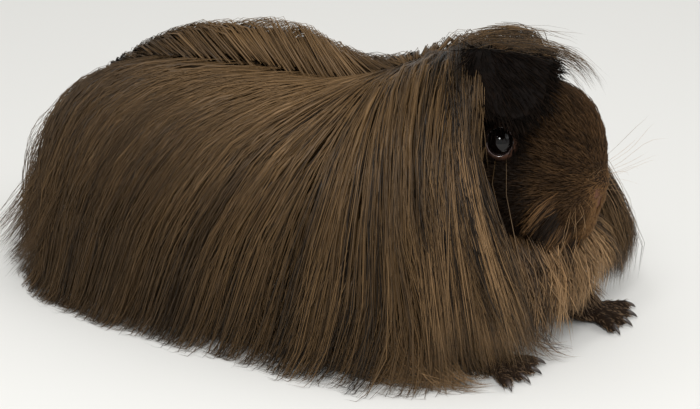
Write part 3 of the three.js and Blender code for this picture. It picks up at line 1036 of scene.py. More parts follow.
# =====================================================================
# sheaves: hair that follows drawn guides, each strand between two of them
# =====================================================================
# Guides run from the root to the tip, as x, y, z. Those that both sides share are the right side's.
MANE = {
    "right": [
        [(-1, -46, 108), (-27, -52, 100), (-45, -58, 84), (-57, -64, 62), (-64, -70, 36), (-66, -74, 4)],
        [(-1, -54, 109), (-27, -62, 101), (-44, -69, 84), (-55, -75, 62), (-61, -81, 37), (-60, -84, 3)],
        [(-1, -63, 112), (-25, -69, 106), (-40, -75, 88), (-50, -84, 64), (-53, -92, 37), (-47, -98, 3)],
        [(-2, -69, 115), (-27, -74, 109), (-37, -76, 91), (-44, -84, 69), (-47, -96, 41), (-40, -104, 3)],
        [(-4, -73, 114), (-29, -77, 104), (-33, -77, 88), (-39, -85, 70), (-43, -99, 43), (-35, -108, 6)],
    ],
    "left": [
        [(1, -46, 107), (27, -52, 99), (45, -58, 83), (57, -64, 61), (64, -70, 36), (66, -74, 4)],
        [(1, -54, 108), (27, -62, 99), (44, -69, 83), (55, -77, 61), (61, -85, 37), (60, -90, 3)],
        [(1, -63, 110), (25, -71, 101), (40, -80, 83), (49, -91, 60), (52, -100, 36), (50, -105, 4)],
        [(2, -70, 111), (27, -76, 98), (38, -86, 77), (42, -102, 55), (42, -111, 33), (40, -113, 9)],
        [(3, -73, 111), (30, -78, 98), (35, -86, 78), (36, -103, 57), (32, -119, 37), (31, -118, 18)],
        [(4, -75, 110), (29, -80, 97), (33, -88, 76), (33, -107, 56), (28, -120, 39), (28, -119, 25)],
    ],
}
BREAST = [
    [(-27, -90, 50), (-33, -97, 38), (-35, -101, 24), (-33, -103, 8)],
    [(-15, -98, 48), (-19, -105, 37), (-21, -108, 24), (-21, -108, 10)],
    [(-4, -103, 47), (-5, -110, 37), (-5, -113, 26), (-5, -112, 13)],
    [(6, -104, 47), (9, -112, 38), (12, -116, 29), (13, -115, 17)],
    [(16, -100, 50), (21, -110, 42), (25, -117, 33), (26, -118, 23)],
    [(26, -92, 52), (33, -101, 40), (36, -108, 26), (36, -110, 10)],
]
FORELOCK = [
    [(-5, -56, 112), (-27, -66, 108), (-39, -73, 94), (-45, -79, 76), (-49, -87, 56)],
    [(-9, -66, 117), (-28, -73, 111), (-36, -77, 97), (-40, -79, 80), (-43, -87, 60)],
    [(-13, -74, 118), (-30, -79, 110), (-33.5, -80, 96), (-36, -80.5, 81), (-39, -87, 64)],
]
CROWN = [
    [(-12, -60, 111), (-12, -72, 112), (-12, -83, 107), (-13, -91, 99)],
    [(-2, -60, 112), (-2, -72, 113), (-2, -84, 107), (-2, -93, 98)],
    [(8, -60, 111), (8, -72, 111), (8, -83, 104), (8, -91, 96)],
    [(15, -60, 108), (16, -71, 107), (17, -80, 101), (18, -87, 93)],
]
HEM = [
    [(-56, 54, 30), (-56, 53, 12), (-54, 43, 2.5), (-58, 26, 1.5)],
    [(-61, 20, 30), (-61, 18, 12), (-58, 8, 2.5), (-62, -10, 1.5)],
    [(-62, -6, 30), (-62, -9, 12), (-59, -18, 2.5), (-60, -36, 1.5)],
    [(-63, -26, 30), (-63, -31, 12), (-61, -41, 2.5), (-61, -58, 1.5)],
    [(-63, -44, 30), (-64, -49, 12), (-64, -62, 2.5), (-62, -79, 1.5)],
    [(-61, -58, 30), (-62, -64, 12), (-61, -76, 2.5), (-54, -88, 1.5)],
    [(-55, -72, 30), (-57, -79, 12), (-55, -88, 2.5), (-46, -98, 1.5)],
]
FAN = [
    [(-42, -92, 36), (-33, -101, 16), (-26, -107, 5), (-20, -113, 1.5)],
    [(-38, -90, 40), (-27, -100, 18), (-17, -106, 5), (-8, -116, 1.5)],
]
TRAIN = [
    [(-40, 78, 60), (-48, 91, 38), (-50, 100, 20), (-50, 112, 6)],
    [(-30, 92, 62), (-39, 105, 40), (-42, 113, 24), (-44, 124, 11)],
    [(-15, 100, 64), (-21, 116, 42), (-23, 124, 25), (-25, 133, 10)],
    [(0, 103, 64), (0, 119, 40), (0, 127, 22), (0, 138, 7)],
    [(15, 100, 64), (20, 115, 40), (22, 122, 21), (23, 133, 4)],
    [(32, 90, 60), (39, 103, 36), (41, 109, 16), (42, 118, 2)],
]
WHISKERS = [
    [(-8, -111, 71), (-17, -117, 79), (-27, -122, 87), (-36, -124, 93)],
    [(-8.5, -112, 66), (-18, -120, 70), (-30, -126, 73), (-42, -129, 71)],
    [(-9.5, -111, 62), (-22, -117, 61), (-35, -121, 57), (-47, -121, 49)],
    [(-9.5, -108, 58), (-22, -111, 53), (-35, -111, 45), (-45, -108, 35)],
]
RUFF = [
    [(-14.0, -104, 68), (-18.6, -98.5, 64), (-22.6, -93, 57)],
    [(-13.8, -105, 64), (-18.8, -99, 58), (-23, -93, 50)],
    [(-12.5, -106, 58), (-17.5, -102, 51), (-21.5, -97, 42)],
    [(-8, -109, 51), (-11, -106, 43), (-13.5, -102, 34)],
    [(-2, -110.5, 47), (-2.5, -109, 40), (-3, -106, 31)],
]
EAR_WISPS = {
    "right": [
        [(-3, -56, 112), (-2, -72, 120), (0, -85, 123), (3, -97, 123.5), (5, -107, 122)],
        [(-10, -62, 115), (-13, -75, 122), (-14, -88, 124.5), (-13, -99, 123.5), (-11, -108, 120)],
        [(-18, -68, 114), (-22, -80, 120), (-24, -90, 121), (-25, -98, 118), (-25, -104, 113)],
    ],
    "left": [
        [(5, -66, 112), (9, -78, 114), (12, -90, 112.5), (14, -101, 108), (15, -109, 101)],
        [(10, -70, 110), (16, -82, 111), (21, -93, 108), (24, -102, 102), (25, -107, 94)],
        [(14, -72, 106), (23, -82, 106), (29, -91, 101), (32, -98, 93), (32, -101, 85)],
    ],
}


def curves(controls, t):
    """Smooth curves through each strand's own controls (strands, controls, 3), read at t."""
    count = controls.shape[1] - 1
    i = np.minimum((t * count).astype(int), count - 1)
    f = (t * count - i)[..., None]
    row = np.arange(len(controls))[:, None]
    p0, p1 = controls[row, np.maximum(i - 1, 0)], controls[row, i]
    p2, p3 = controls[row, i + 1], controls[row, np.minimum(i + 2, count)]
    square, cube = 2 * p0 - 5 * p1 + 4 * p2 - p3, 3 * p1 - p0 - 3 * p2 + p3
    return 0.5 * (2 * p1 + (p2 - p0) * f + square * f**2 + cube * f**3)


SHEAF = {
    "flat": 0.6,
    "floor": 0.8,
    "between": (-0.25, 1.25),
    "crowd_out": 1.4,
    "apart": (12.0, 14.0),  # mm that a guide, and the depth under it, count for when locks are formed
    "root_spread": 0.5,
}


def sheaf(name, guides, look, material, rng, mirror=1.0):
    """Strands between neighbouring guides. look holds their count and rings, depth (mm under the guides,
    at root and tip), spread (mm, at root and tip), share of the guide's length, width, frizz, tone and
    how many strands make a lock."""
    guides = np.array(guides, float) * (mirror, 1, 1) + (MID_X, 0, 0)
    count, rings = look["count"], look["rings"]
    place = rng.random(count) * (len(guides) - 1)
    low = np.minimum(place.astype(int), len(guides) - 2)
    between = smooth_step((place - low)[:, None, None], *SHEAF["between"])
    controls = guides[low] * (1 - between) + guides[low + 1] * between
    t = np.linspace(0, 1, rings + 1)[None, :] * rng.uniform(*look["share"], (count, 1))
    paths = curves(controls, t)
    outward = outward_of(paths)
    depth, spread = (a + (b - a) * t[..., None] for a, b in (look["depth"], look["spread"]))
    under = rng.random((count, 1, 1)) ** SHEAF["crowd_out"]
    paths = paths - outward * depth * under
    paths = paths + rng.normal(size=(count, 1, 3)) * spread
    paths[..., 2] = np.maximum(paths[..., 2], SHEAF["floor"])
    roots = np.stack([place, under[:, 0, 0]], -1) * SHEAF["apart"]
    strength, tight = FINE_LOCK
    locks = max(count // look["lock"], 3)
    paths, lock = gathered(paths, roots, locks, rng.uniform(*strength, count), tight, rng)
    paths = frizzed(paths, outward, rng.uniform(*look["frizz"], count), rng)
    tone = strand_tones(paths, lock, rng, look["tone"])
    widths = profile(rng.uniform(*look["width"], count), rings)
    places = fitted(roots + rng.random((count, 2)) * SHEAF["root_spread"])
    return strand_mesh(name, paths, outward, widths, SHEAF["flat"], tone, places, material)


MANE_LOOK = {
    "count": amount(2200),
    "rings": 7,
    "depth": (2.0, 15.0),
    "spread": (0.6, 2.0),
    "share": (0.84, 1.05),
    "width": (0.2, 0.5),
    "frizz": (0.3, 1.8),
    "tone": 0.52,
    "lock": 12,
}


def look_like_mane(**changes):
    """The mane's look with some of its values changed."""
    return MANE_LOOK | changes


BREAST_LOOK = look_like_mane(
    count=amount(1300),
    rings=6,
    depth=(2.0, 10.0),
    spread=(1.5, 3.0),
    share=(0.55, 1.1),
    frizz=(0.4, 2.4),
)
TRAIN_LOOK = look_like_mane(
    count=amount(900), depth=(3.0, 7.0), spread=(1.5, 3.2), share=(0.7, 1.08), width=(0.16, 0.36)
)
FRINGE_LOOK = look_like_mane(count=amount(500), rings=6, depth=(2.0, 9.0), spread=(1.0, 2.0), tone=0.3)
FORELOCK_LOOK = look_like_mane(
    count=150, depth=(0.0, 2.0), spread=(0.8, 2.4), share=(0.7, 1.1), width=(0.2, 0.42), tone=0.6
)
HEM_LOOK = look_like_mane(
    count=amount(800),
    depth=(12.0, 0.5),
    spread=(2.2, 3.0),
    share=(0.55, 1.1),
    width=(0.16, 0.36),
    lock=16,
)
FAN_LOOK = look_like_mane(
    count=60, depth=(4.0, 1.0), spread=(1.5, 3.4), share=(0.5, 1.15), width=(0.12, 0.26), lock=6
)
CROWN_LOOK = look_like_mane(
    count=amount(450), rings=5, depth=(1.0, 6.0), spread=(1.0, 1.6), share=(0.5, 1.0), tone=0.2
)
RUFF_LOOK = {
    "count": amount(700),
    "rings": 5,
    "depth": (0.4, 3.0),
    "spread": (0.5, 1.3),
    "share": (0.6, 1.15),
    "width": (0.24, 0.42),
    "frizz": (0.2, 0.8),
    "tone": 0.22,
    "lock": 6,
}
WISP_LOOK = {
    "rings": 7,
    "depth": (2.0, 7.0),
    "spread": (1.2, 2.6),
    "share": (0.5, 1.1),
    "width": (0.14, 0.28),
    "frizz": (0.6, 2.6),
    "tone": 0.45,
    "lock": 7,
}
WISP_LOOKS = {"right": WISP_LOOK | {"count": 90}, "left": WISP_LOOK | {"count": 130}}
WHISKER_LOOK = {
    "count": 14,
    "rings": 7,
    "depth": (0.0, 0.0),
    "spread": (1.0, 3.5),
    "share": (0.4, 1.0),
    "width": (0.08, 0.12),
    "frizz": (0.0, 1.0),
    "tone": 0.9,
    "lock": 1,
}


# =====================================================================
# short fur of the face, ears and legs
# =====================================================================
NOSE = np.array([0.0, -118.0, 66.5])
NOSE_SPOT = NOSE + (MID_X, 0, 0)


SLOPE_STEP = 0.3
# heights between which the lie of the face turns down, and by how much
FACE_DOWN = {"from": 66, "full": 50, "pull": 0.9, "loss": 0.6}


def scattered(points, quads, weights, count, rng):
    """Random places on a surface and the surface's direction there. Weights say where most of them go."""
    a, b, c, d = (points[quads[:, i]] for i in range(4))
    normal = np.cross(c - a, d - b)
    area = np.linalg.norm(normal, axis=1) / 2
    normal /= 2 * area[:, None] + TINY
    chance = area * weights
    pick = rng.choice(len(quads), count, p=chance / chance.sum())
    u, v = rng.random((count, 1)), rng.random((count, 1))
    spot = (a[pick] * (1 - u) + b[pick] * u) * (1 - v) + (d[pick] * (1 - u) + c[pick] * u) * v
    return spot, normal[pick]


def flesh_normals(p):
    """The way out of the flesh at each point."""
    grad = np.empty_like(p)
    for axis in range(3):
        step = np.zeros(3)
        step[axis] = SLOPE_STEP
        grad[:, axis] = flesh_at(p + step) - flesh_at(p - step)
    return unit(grad)


def low_on(z, full, none):
    """One below full, nothing above none."""
    return smooth_step(-z, -none, -full)


def face_lie(p):
    """The lie of the face's fur: away from the nose, and down on the cheek and jaw."""
    low = low_on(p[:, 2], FACE_DOWN["full"], FACE_DOWN["from"])
    way = unit(p - (NOSE_SPOT + (0, -2, 2))) * (1 - FACE_DOWN["loss"] * low)[:, None]
    way[:, 2] -= FACE_DOWN["pull"] * low
    return way


TUFT = {"rings": 3, "flat": 0.6, "ends": (0.8, 0.3), "sunk": 0.25}
FACE = {
    "count": amount(12600),
    "messy": 0.16,
    "width": (0.17, 0.34),
    "long": ([0, 5, 10, 18, 34, 50], [1.0, 1.5, 2.8, 5.0, 7.5, 9.0]),  # mm from the nose, mm of hair
    "high": ([0, 8, 30], [0.35, 0.8, 2.4]),
    "fine": ([0, 12], [0.75, 1.0]),
    "beard": 8.0,
    "eye_clear": (7.6, 9.5),
    "lowest": 38,
    "on_flesh": 1.6,
    "tone": 0.22,
    "own": 0.06,
    "drift": 0.05,
    "drift_size": 12.0,
    "drift_seed": 9,
    # cheek darkens a band as painted shade; lip lightens the lips, partly their own hair and partly painted
    # rim light
    "cheek": -0.5,
    "lip": 0.5,
}
SMALL = {"messy": 0.14, "floor": 0.3}
EAR_FUR = {
    "count": amount(1900),
    "long": (3.5, 8.5),
    "lift": (0.3, 1.3),
    "width": (0.35, 0.65),
    "droop": 0.15,
    "hang": (0.0, -0.35, -0.75),
    "tone": (0.4, 0.2),
}
LEG_FUR = {  # long and lift are shares of the mm on the leg and on the foot
    "count": amount(4600),
    "long": (0.7, 1.2),
    "long_mm": (8.5, 2.2),
    "lift": (0.5, 1.3),
    "lift_mm": (2.0, 0.35),
    "width": (0.22, 0.40),
    "droop": 0.1,
    "tone": (0.45, 0.2),
    "leg_tone": 0.15,
    "leg_way": (0.0, -0.5, -1.0),
    "foot_way": (0.0, -1.0, -0.35),
}


def tufts(name, paths, outward, widths, tones, places, material):
    """The mesh of short tufts."""
    widths = profile(widths, TUFT["rings"], *TUFT["ends"])
    return strand_mesh(name, paths, outward, widths, TUFT["flat"], tones, fitted(places), material)


def lying_paths(root, normal, lengths, heights, rng):
    """Short tufts that leave the face at their roots and lie along it, at their own heights."""
    rings = TUFT["rings"]
    spot = root - normal * TUFT["sunk"]
    path, outs = [spot], [normal]
    jitter = rng.normal(size=root.shape) * FACE["messy"]
    for step in range(1, rings + 1):
        way = unit(across_from(face_lie(spot) + jitter, flesh_normals(spot)))
        spot = spot + way * (lengths / rings)[:, None]
        out = flesh_normals(spot)
        fix = heights * (1 - math.exp(-3 * step / rings)) - flesh_at(spot)
        spot = spot + out * fix[:, None]
        path.append(spot)
        outs.append(out)
    return np.stack(path, 1), np.stack(outs, 1)


def eye_distance(points):
    """How far each point is from the nearer eye."""
    return np.minimum(*[np.linalg.norm(points - EYES[side], axis=1) for side in SIDES])


def nose_distance(points):
    """How far each point is from the nose."""
    return np.linalg.norm(points - NOSE_SPOT, axis=1)


def face_weights(mid):
    """Where the face has fur: ahead of the long hair, off the ears, clear of eyes, nostrils and mouth."""
    weights = smooth_step(hairline(mid[:, 2]) - mid[:, 1], -6.0, 1.0) * (mid[:, 2] > FACE["lowest"])
    weights *= smooth_step(eye_distance(mid), *FACE["eye_clear"])
    weights *= np.abs(flesh_at(mid)) < FACE["on_flesh"]
    nostril = np.linalg.norm(np.abs(mid - (MID_X, 0, 0)) - np.abs(NOSTRIL), axis=1) - 1.6
    mouth = np.hypot(mid[:, 0] - MID_X, 0.6 * (mid[:, 2] - 59.0)) - 2.0 + 9.0 * (mid[:, 1] > -110)
    weights *= smooth_step(np.minimum(nostril, mouth), 0.0, 1.6)
    return weights * (1.0 + 1.5 * (1 - smooth_step(nose_distance(mid), 8.0, 20.0)))


def face_fur(points, quads, material, rng):
    """The flat fur of the face, shortest at the nose, with painted shade that makes it dark behind the eye,
    and lighter round the lips, partly the lips' own hair and partly painted rim light.
    """
    n = FACE["count"]
    root, _ = scattered(points, quads, face_weights(points[quads].mean(1)), n, rng)
    from_nose = nose_distance(root)
    lengths = np.interp(from_nose, *FACE["long"]) * rng.uniform(0.75, 1.25, n)
    lengths += FACE["beard"] * low_on(root[:, 2], 46, 58) * smooth_step(from_nose, 12, 22)
    heights = np.interp(from_nose, *FACE["high"]) * rng.uniform(0.5, 1.3, n)
    paths, outward = lying_paths(root, flesh_normals(root), lengths, heights, rng)
    widths = rng.uniform(*FACE["width"], n) * np.interp(from_nose, *FACE["fine"])
    ax = np.abs(root[:, 0] - MID_X)
    # painted shade: a dark band between the eye and the muzzle, where the face lies in deep shadow
    cheek = bell(root[:, 1], -90.5, 5.0) * smooth_step(ax, 6, 12) * smooth_step(root[:, 2], 46, 56)
    # lighter round the lips and the muzzle's front: the lips' own lighter hair and painted rim light from
    # behind
    lip = low_on(root[:, 1], -113, -108) * low_on(root[:, 2], 66, 74) * low_on(ax, 6, 10)
    tone = FACE["tone"] + FACE["own"] * rng.normal(size=n)
    tone = tone + FACE["drift"] * soft_noise(root, FACE["drift_size"], FACE["drift_seed"])
    tone = np.clip(tone + FACE["cheek"] * cheek + FACE["lip"] * lip, 0, 1)
    places = np.stack([root[:, 1] + 0.3 * ax, np.arctan2(root[:, 0] - MID_X, root[:, 2] - 70)], -1)
    made = []
    for side, sign in SIDES.items():
        part = np.flatnonzero((root[:, 0] - MID_X) * sign >= 0)
        hair = (paths[part], outward[part], widths[part], tone[part], places[part])
        made.append(tufts(f"face_fur_{side}", *hair, material))
    return made


def small_fur(name, root, normal, way, lengths, lift, widths, droop, tones, material, rng):
    """Short tufts on a thin or small part: each leaves along way, lifted from the surface, and droops."""
    n, rings = len(root), TUFT["rings"]
    way = unit(across_from(way, normal)) + rng.normal(size=(n, 3)) * SMALL["messy"]
    t = np.linspace(0, 1, rings + 1)[None, :, None]
    paths = root[:, None] - normal[:, None] * TUFT["sunk"] + way[:, None] * lengths[:, None, None] * t
    paths = paths + normal[:, None] * (lift[:, None, None] * (1 - (1 - t) ** 2))
    paths[..., 2] -= droop * (lengths[:, None] * t[..., 0] ** 2)
    paths[..., 2] = np.maximum(paths[..., 2], SMALL["floor"])
    outward = np.repeat(normal[:, None], rings + 1, 1)
    places = np.stack([root[:, 1], root[:, 2] + 0.4 * root[:, 0]], -1)
    return tufts(name, paths, outward, widths, tones, places, material)


def ear_fur(side, points, quads, material, rng):
    """Fur that fans out from the root of an ear and hangs over its edge."""
    mid = points[quads].mean(1)
    weights = (flesh_at(mid) > 1.5) * (mid[:, 2] > 84) * ((mid[:, 0] - MID_X) * SIDES[side] > 6)
    n = EAR_FUR["count"]
    root, normal = scattered(points, quads, weights, n, rng)
    out, y, z = EAR["root"]
    base = np.array([MID_X + SIDES[side] * out, y + EAR["back"][side], z])
    way = unit(root - base) + np.array(EAR_FUR["hang"])
    lengths = rng.uniform(*EAR_FUR["long"], n)
    tone, change = EAR_FUR["tone"]
    tones = np.clip(tone + change * rng.normal(size=n), 0, 1)
    lift, widths = rng.uniform(*EAR_FUR["lift"], n), rng.uniform(*EAR_FUR["width"], n)
    hair = (root, normal, way, lengths, lift, widths, EAR_FUR["droop"], tones)
    return small_fur(f"ear_fur_{side}", *hair, material, rng)


def leg_fur(points, quads, material, rng):
    """Fur of the legs, longer up the leg and short and flat on the feet."""
    mid = points[quads].mean(1)
    weights = (flesh_at(mid) > 0.8) * (mid[:, 2] < 40) * (mid[:, 2] > 1.6)
    foot = 1 - smooth_step(mid[:, 2], 7.0, 16.0)
    weights = weights * (1.0 + 1.5 * foot) * np.where(mid[:, 1] < 0, 1.0, 0.5)
    n = LEG_FUR["count"]
    root, normal = scattered(points, quads, weights, n, rng)
    foot = 1 - smooth_step(root[:, 2], 6.0, 14.0)

    def down_leg(key):
        on_leg, on_foot = LEG_FUR[key]
        return on_leg + (on_foot - on_leg) * foot

    way = np.multiply.outer(1 - foot, LEG_FUR["leg_way"]) + np.multiply.outer(foot, LEG_FUR["foot_way"])
    lengths = down_leg("long_mm") * rng.uniform(*LEG_FUR["long"], n)
    tone, change = LEG_FUR["tone"]
    tones = np.clip(tone + change * rng.normal(size=n) + LEG_FUR["leg_tone"] * (1 - foot), 0, 1)
    lift = down_leg("lift_mm") * rng.uniform(*LEG_FUR["lift"], n)
    widths = rng.uniform(*LEG_FUR["width"], n)
    hair = (root, normal, way, lengths, lift, widths, LEG_FUR["droop"], tones)
    return small_fur("leg_fur", *hair, material, rng)


# =====================================================================
# eyes and claws
# =====================================================================
EYEBALL = {"rows": 40, "columns": 56, "share": 0.985, "bulge": 0.12, "front": 0.7}
RIM = {"points": 72, "sides": 8, "thick": 0.42, "wider": 0.1, "proud": 0.32}
CLAW = {
    "long": 6.0,
    "thick": 1.25,
    "tip": 0.12,
    "root_share": 0.55,
    "top": 3.2,
    "arch": 0.5,
    "drop": 2.3,
    "root_end": 0.4,
    "tip_end": (0.25, 0.15),  # mm on and down
}


def closed_tube(rings, start, end):
    """Points, four-sided faces and end fans of a tube through rings, closed by a point at each end."""
    count, sides = rings.shape[:2]
    rows = np.arange(count * sides).reshape(count, sides)
    first = np.stack([np.full(sides, count * sides), rows[0], np.roll(rows[0], -1)], -1)
    last = np.stack([rows[-1], np.full(sides, count * sides + 1), np.roll(rows[-1], -1)], -1)
    points = np.concatenate([rings.reshape(-1, 3), [start], [end]])
    return points, bands(rows), np.concatenate([first, last])


def at_eye(points, side):
    """Points round the left eye's own middle, set in place on either side."""
    return points * (SIDES[side], 1.0, 1.0) + EYES[side]


def eye_ball(side, material):
    """A ball with a slightly raised clear front, turned the way the animal looks."""
    rows, columns = EYEBALL["rows"], EYEBALL["columns"]
    out, ahead, up = eye_axes()
    polar = np.linspace(0, math.pi, rows + 1)[1:-1, None]
    turn = np.linspace(0, 2 * math.pi, columns, endpoint=False)[None, :]
    bulge = EYEBALL["bulge"] * np.exp(-((polar / EYEBALL["front"]) ** 4))
    radius = EYE_RADIUS * EYEBALL["share"] + bulge + 0 * turn
    first = radius * np.sin(polar) * np.cos(turn)
    second = radius * np.sin(polar) * np.sin(turn)
    grid = (radius * np.cos(polar))[..., None] * out + first[..., None] * ahead + second[..., None] * up
    points, quads, fans = closed_tube(grid, out * radius[0, 0], -out * radius[-1, 0])
    if SIDES[side] < 0:
        quads, fans = quads[:, ::-1], fans[:, ::-1]
    polar = np.append(np.repeat(polar[:, 0], columns), [0.0, math.pi])
    return shell(f"eyeball_{side}", at_eye(points, side), quads, material, fans, {"polar": polar})


def eyelid_rim(side, material):
    """The wet edge of the lids, a thin closed ring round the opening."""
    out, ahead, up = eye_axes()
    wide, tall = LID["open"]
    turn = np.linspace(0, 2 * math.pi, RIM["points"], endpoint=False)
    a, b = (wide + RIM["wider"]) * np.cos(turn), (tall + RIM["wider"]) * np.sin(turn)
    axis = np.sqrt(np.maximum((EYE_RADIUS + RIM["proud"]) ** 2 - a**2 - b**2, 0.05))
    line = axis[:, None] * out + a[:, None] * ahead + b[:, None] * up
    tangent = unit(np.roll(line, -1, 0) - np.roll(line, 1, 0))
    outward = unit(line)
    rings = rings_round(line, np.cross(tangent, outward), outward, RIM["thick"], RIM["sides"])
    points = at_eye(rings.reshape(-1, 3), side)
    rows = np.arange(len(points)).reshape(RIM["points"], RIM["sides"])
    quads = bands(np.concatenate([rows, rows[:1]]))
    if SIDES[side] > 0:
        quads = quads[:, ::-1]
    return shell(f"lid_rim_{side}", points, quads, material)


def claw(name, material):
    """A short curved horn along the claw's own node."""
    centre = middle(name)
    _, limb_name, side, _ = name.split("_")
    way = unit(centre - (*LEGS[limb_name][side]["foot"], centre[2]))
    t = np.linspace(0, 1, 9)
    line = centre + way * ((t - CLAW["root_share"]) * CLAW["long"])[:, None]
    line[:, 2] = CLAW["top"] + CLAW["arch"] * np.sin(t * math.pi * 0.7) - CLAW["drop"] * t**2.2
    radii = CLAW["thick"] * (1 - t) ** 0.6 + CLAW["tip"]
    tangent = unit(np.gradient(line, axis=0))
    across = unit(np.cross(tangent, [0, 0, 1.0]))
    rings = rings_round(line, across, np.cross(across, tangent), radii[:, None, None], 12)
    root_end = line[0] - way * CLAW["root_end"]
    tip_end = line[-1] + way * CLAW["tip_end"][0] - (0, 0, CLAW["tip_end"][1])
    points, quads, fans = closed_tube(rings, root_end, tip_end)
    points[:, 2] = np.maximum(points[:, 2], CLAW["tip"])
    return shell(f"horn_{name[5:]}", points, quads, material, fans)


# =====================================================================
# finishes
# =====================================================================
def finish_of(name, roughness, specular=0.5, coat=0.0, coat_roughness=0.1):
    """A new material, its node tree and its shader."""
    material = bpy.data.materials.new(name)
    material.use_nodes = True
    tree = material.node_tree
    shader = tree.nodes["Principled BSDF"]
    shader.inputs["Roughness"].default_value = roughness
    shader.inputs["Specular IOR Level"].default_value = specular
    shader.inputs["Coat Weight"].default_value = coat
    shader.inputs["Coat Roughness"].default_value = coat_roughness
    return material, tree, shader


def attribute(tree, name):
    """The values of a named attribute."""
    node = tree.nodes.new("ShaderNodeAttribute")
    node.attribute_name = name
    return node.outputs["Fac"]


def ramp(tree, factor, stops):
    """A colour that changes with the factor through the stops."""
    node = tree.nodes.new("ShaderNodeValToRGB")
    line = node.color_ramp.elements
    while len(line) < len(stops):
        line.new(0.5)
    for element, (at, color) in zip(line, stops):
        element.position = at
        element.color = (*color, 1.0)
    tree.links.new(factor, node.inputs["Fac"])
    return node.outputs["Color"]


def mixed(tree, kind, factor, first, second):
    """Two colours mixed by the factor, each a socket or a plain value."""
    node = tree.nodes.new("ShaderNodeMix")
    node.data_type = "RGBA"
    node.blend_type = kind
    for socket, value in (("Factor", factor), ("A", first), ("B", second)):
        spot = [s for s in node.inputs if s.name == socket and s.enabled][0]
        if isinstance(value, bpy.types.NodeSocket):
            tree.links.new(value, spot)
        elif socket == "Factor":
            spot.default_value = value
        else:
            spot.default_value = (*value, 1.0)
    return [s for s in node.outputs if s.enabled][0]


def noise(tree, scale, detail=3.0):
    """Grain that is fixed to the piece itself."""
    place = tree.nodes.new("ShaderNodeTexCoord")
    node = tree.nodes.new("ShaderNodeTexNoise")
    node.inputs["Scale"].default_value = scale
    node.inputs["Detail"].default_value = detail
    tree.links.new(place.outputs["Object"], node.inputs["Vector"])
    return node.outputs["Fac"]


def bumped(tree, shader, height, distance, strength=1.0):
    """Fine relief on a finish; distance is in metres."""
    node = tree.nodes.new("ShaderNodeBump")
    node.inputs["Distance"].default_value = distance
    node.inputs["Strength"].default_value = strength
    tree.links.new(height, node.inputs["Height"])
    tree.links.new(node.outputs["Normal"], shader.inputs["Normal"])


BLACK, PALE, WHITE = (0.0, 0.0, 0.0), (0.8, 0.8, 0.8), (1.0, 1.0, 1.0)
HAIR = {  # colour at tone 0, at tone 1 and at the tips of light strands, roughness, gloss
    # coat_hair's tip colour is darker than its tone-1 colour: painted shade on the tips, which hang low on
    # the flank and rump
    "coat_hair": ((0.0100, 0.0055, 0.0021), (0.168, 0.0965, 0.0385), (0.09, 0.051, 0.020), 0.45, 0.3),
    "mane_hair": ((0.0075, 0.0040, 0.0015), (0.172, 0.096, 0.0375), (0.36, 0.22, 0.105), 0.45, 0.3),
    "face_hair": ((0.012, 0.0060, 0.0023), (0.19, 0.096, 0.036), (0.30, 0.165, 0.070), 0.5, 0.15),
    "breast_hair": ((0.040, 0.022, 0.009), (0.38, 0.225, 0.105), (0.46, 0.29, 0.145), 0.45, 0.3),
    "foot_hair": ((0.030, 0.018, 0.010), (0.18, 0.108, 0.056), (0.24, 0.15, 0.08), 0.5, 0.3),
    # ear_hair: the ears' own dark fur, darkened further as painted shade
    "ear_hair": ((0.002, 0.0013, 0.0008), (0.009, 0.0052, 0.003), (0.014, 0.008, 0.005), 0.8, 0.06),
}
SKIN_FUR = [(0.3, (0.014, 0.008, 0.005)), (0.7, (0.045, 0.026, 0.014))]
SKIN_BARE = [(0.3, (0.002, 0.0013, 0.001)), (0.7, (0.006, 0.0036, 0.0025))]
SKIN_FLUSH = (0.17, 0.078, 0.048)
EYE_STOPS = [
    (0.14, (0.0006, 0.0006, 0.0008)),
    (0.17, (0.004, 0.002, 0.0012)),
    (0.30, (0.002, 0.001, 0.0008)),
]


def hair_finish(name, dark, light, tip, roughness, specular):
    """Each strand takes its own tone, and the light ones turn towards the tip colour: paler tips on most
    finishes, darker tips on coat_hair, which are painted shade low on the coat.
    """
    material, tree, shader = finish_of(name, roughness, specular)
    tone = ramp(tree, attribute(tree, "tone"), [(0.05, dark), (1.0, light)])
    share = ramp(tree, attribute(tree, "along"), [(0.35, BLACK), (1.0, WHITE)])
    tip_by_tone = ramp(tree, attribute(tree, "tone"), [(0.1, BLACK), (0.8, PALE)])
    color = mixed(tree, "MIX", mixed(tree, "MULTIPLY", 1.0, share, tip_by_tone), tone, tip)
    tree.links.new(color, shader.inputs["Base Color"])
    return material


def skin_finish():
    """Brown between the hairs, near black on ears, lids and feet (on the ears partly painted shade), flushed
    round eye, nose and mouth.
    """
    material, tree, shader = finish_of("furred_skin", 0.75, 0.08)
    fur = ramp(tree, noise(tree, 900.0, 4.0), SKIN_FUR)
    bare = ramp(tree, noise(tree, 350.0), SKIN_BARE)
    color = mixed(tree, "MIX", attribute(tree, "bare"), fur, bare)
    color = mixed(tree, "MIX", attribute(tree, "flush"), color, SKIN_FLUSH)
    tree.links.new(color, shader.inputs["Base Color"])
    bumped(tree, shader, noise(tree, 1400.0, 2.0), 0.0004)
    return material


def eye_finish():
    """A black pupil in a dark brown eye, under a clear wet front."""
    material, tree, shader = finish_of("wet_eye", 0.4, 0.0, 1.0, 0.03)
    shader.inputs["Coat IOR"].default_value = 1.37
    tree.links.new(ramp(tree, attribute(tree, "polar"), EYE_STOPS), shader.inputs["Base Color"])
    return material


def plain_finish(name, low, high, roughness, scale, coat=0.0):
    """Two colours in a fine grain, with a slight relief."""
    material, tree, shader = finish_of(name, roughness, 0.5, coat)
    tree.links.new(ramp(tree, noise(tree, scale), [(0.3, low), (0.7, high)]), shader.inputs["Base Color"])
    bumped(tree, shader, noise(tree, scale * 2.0), 0.0002, 0.6)
    return material


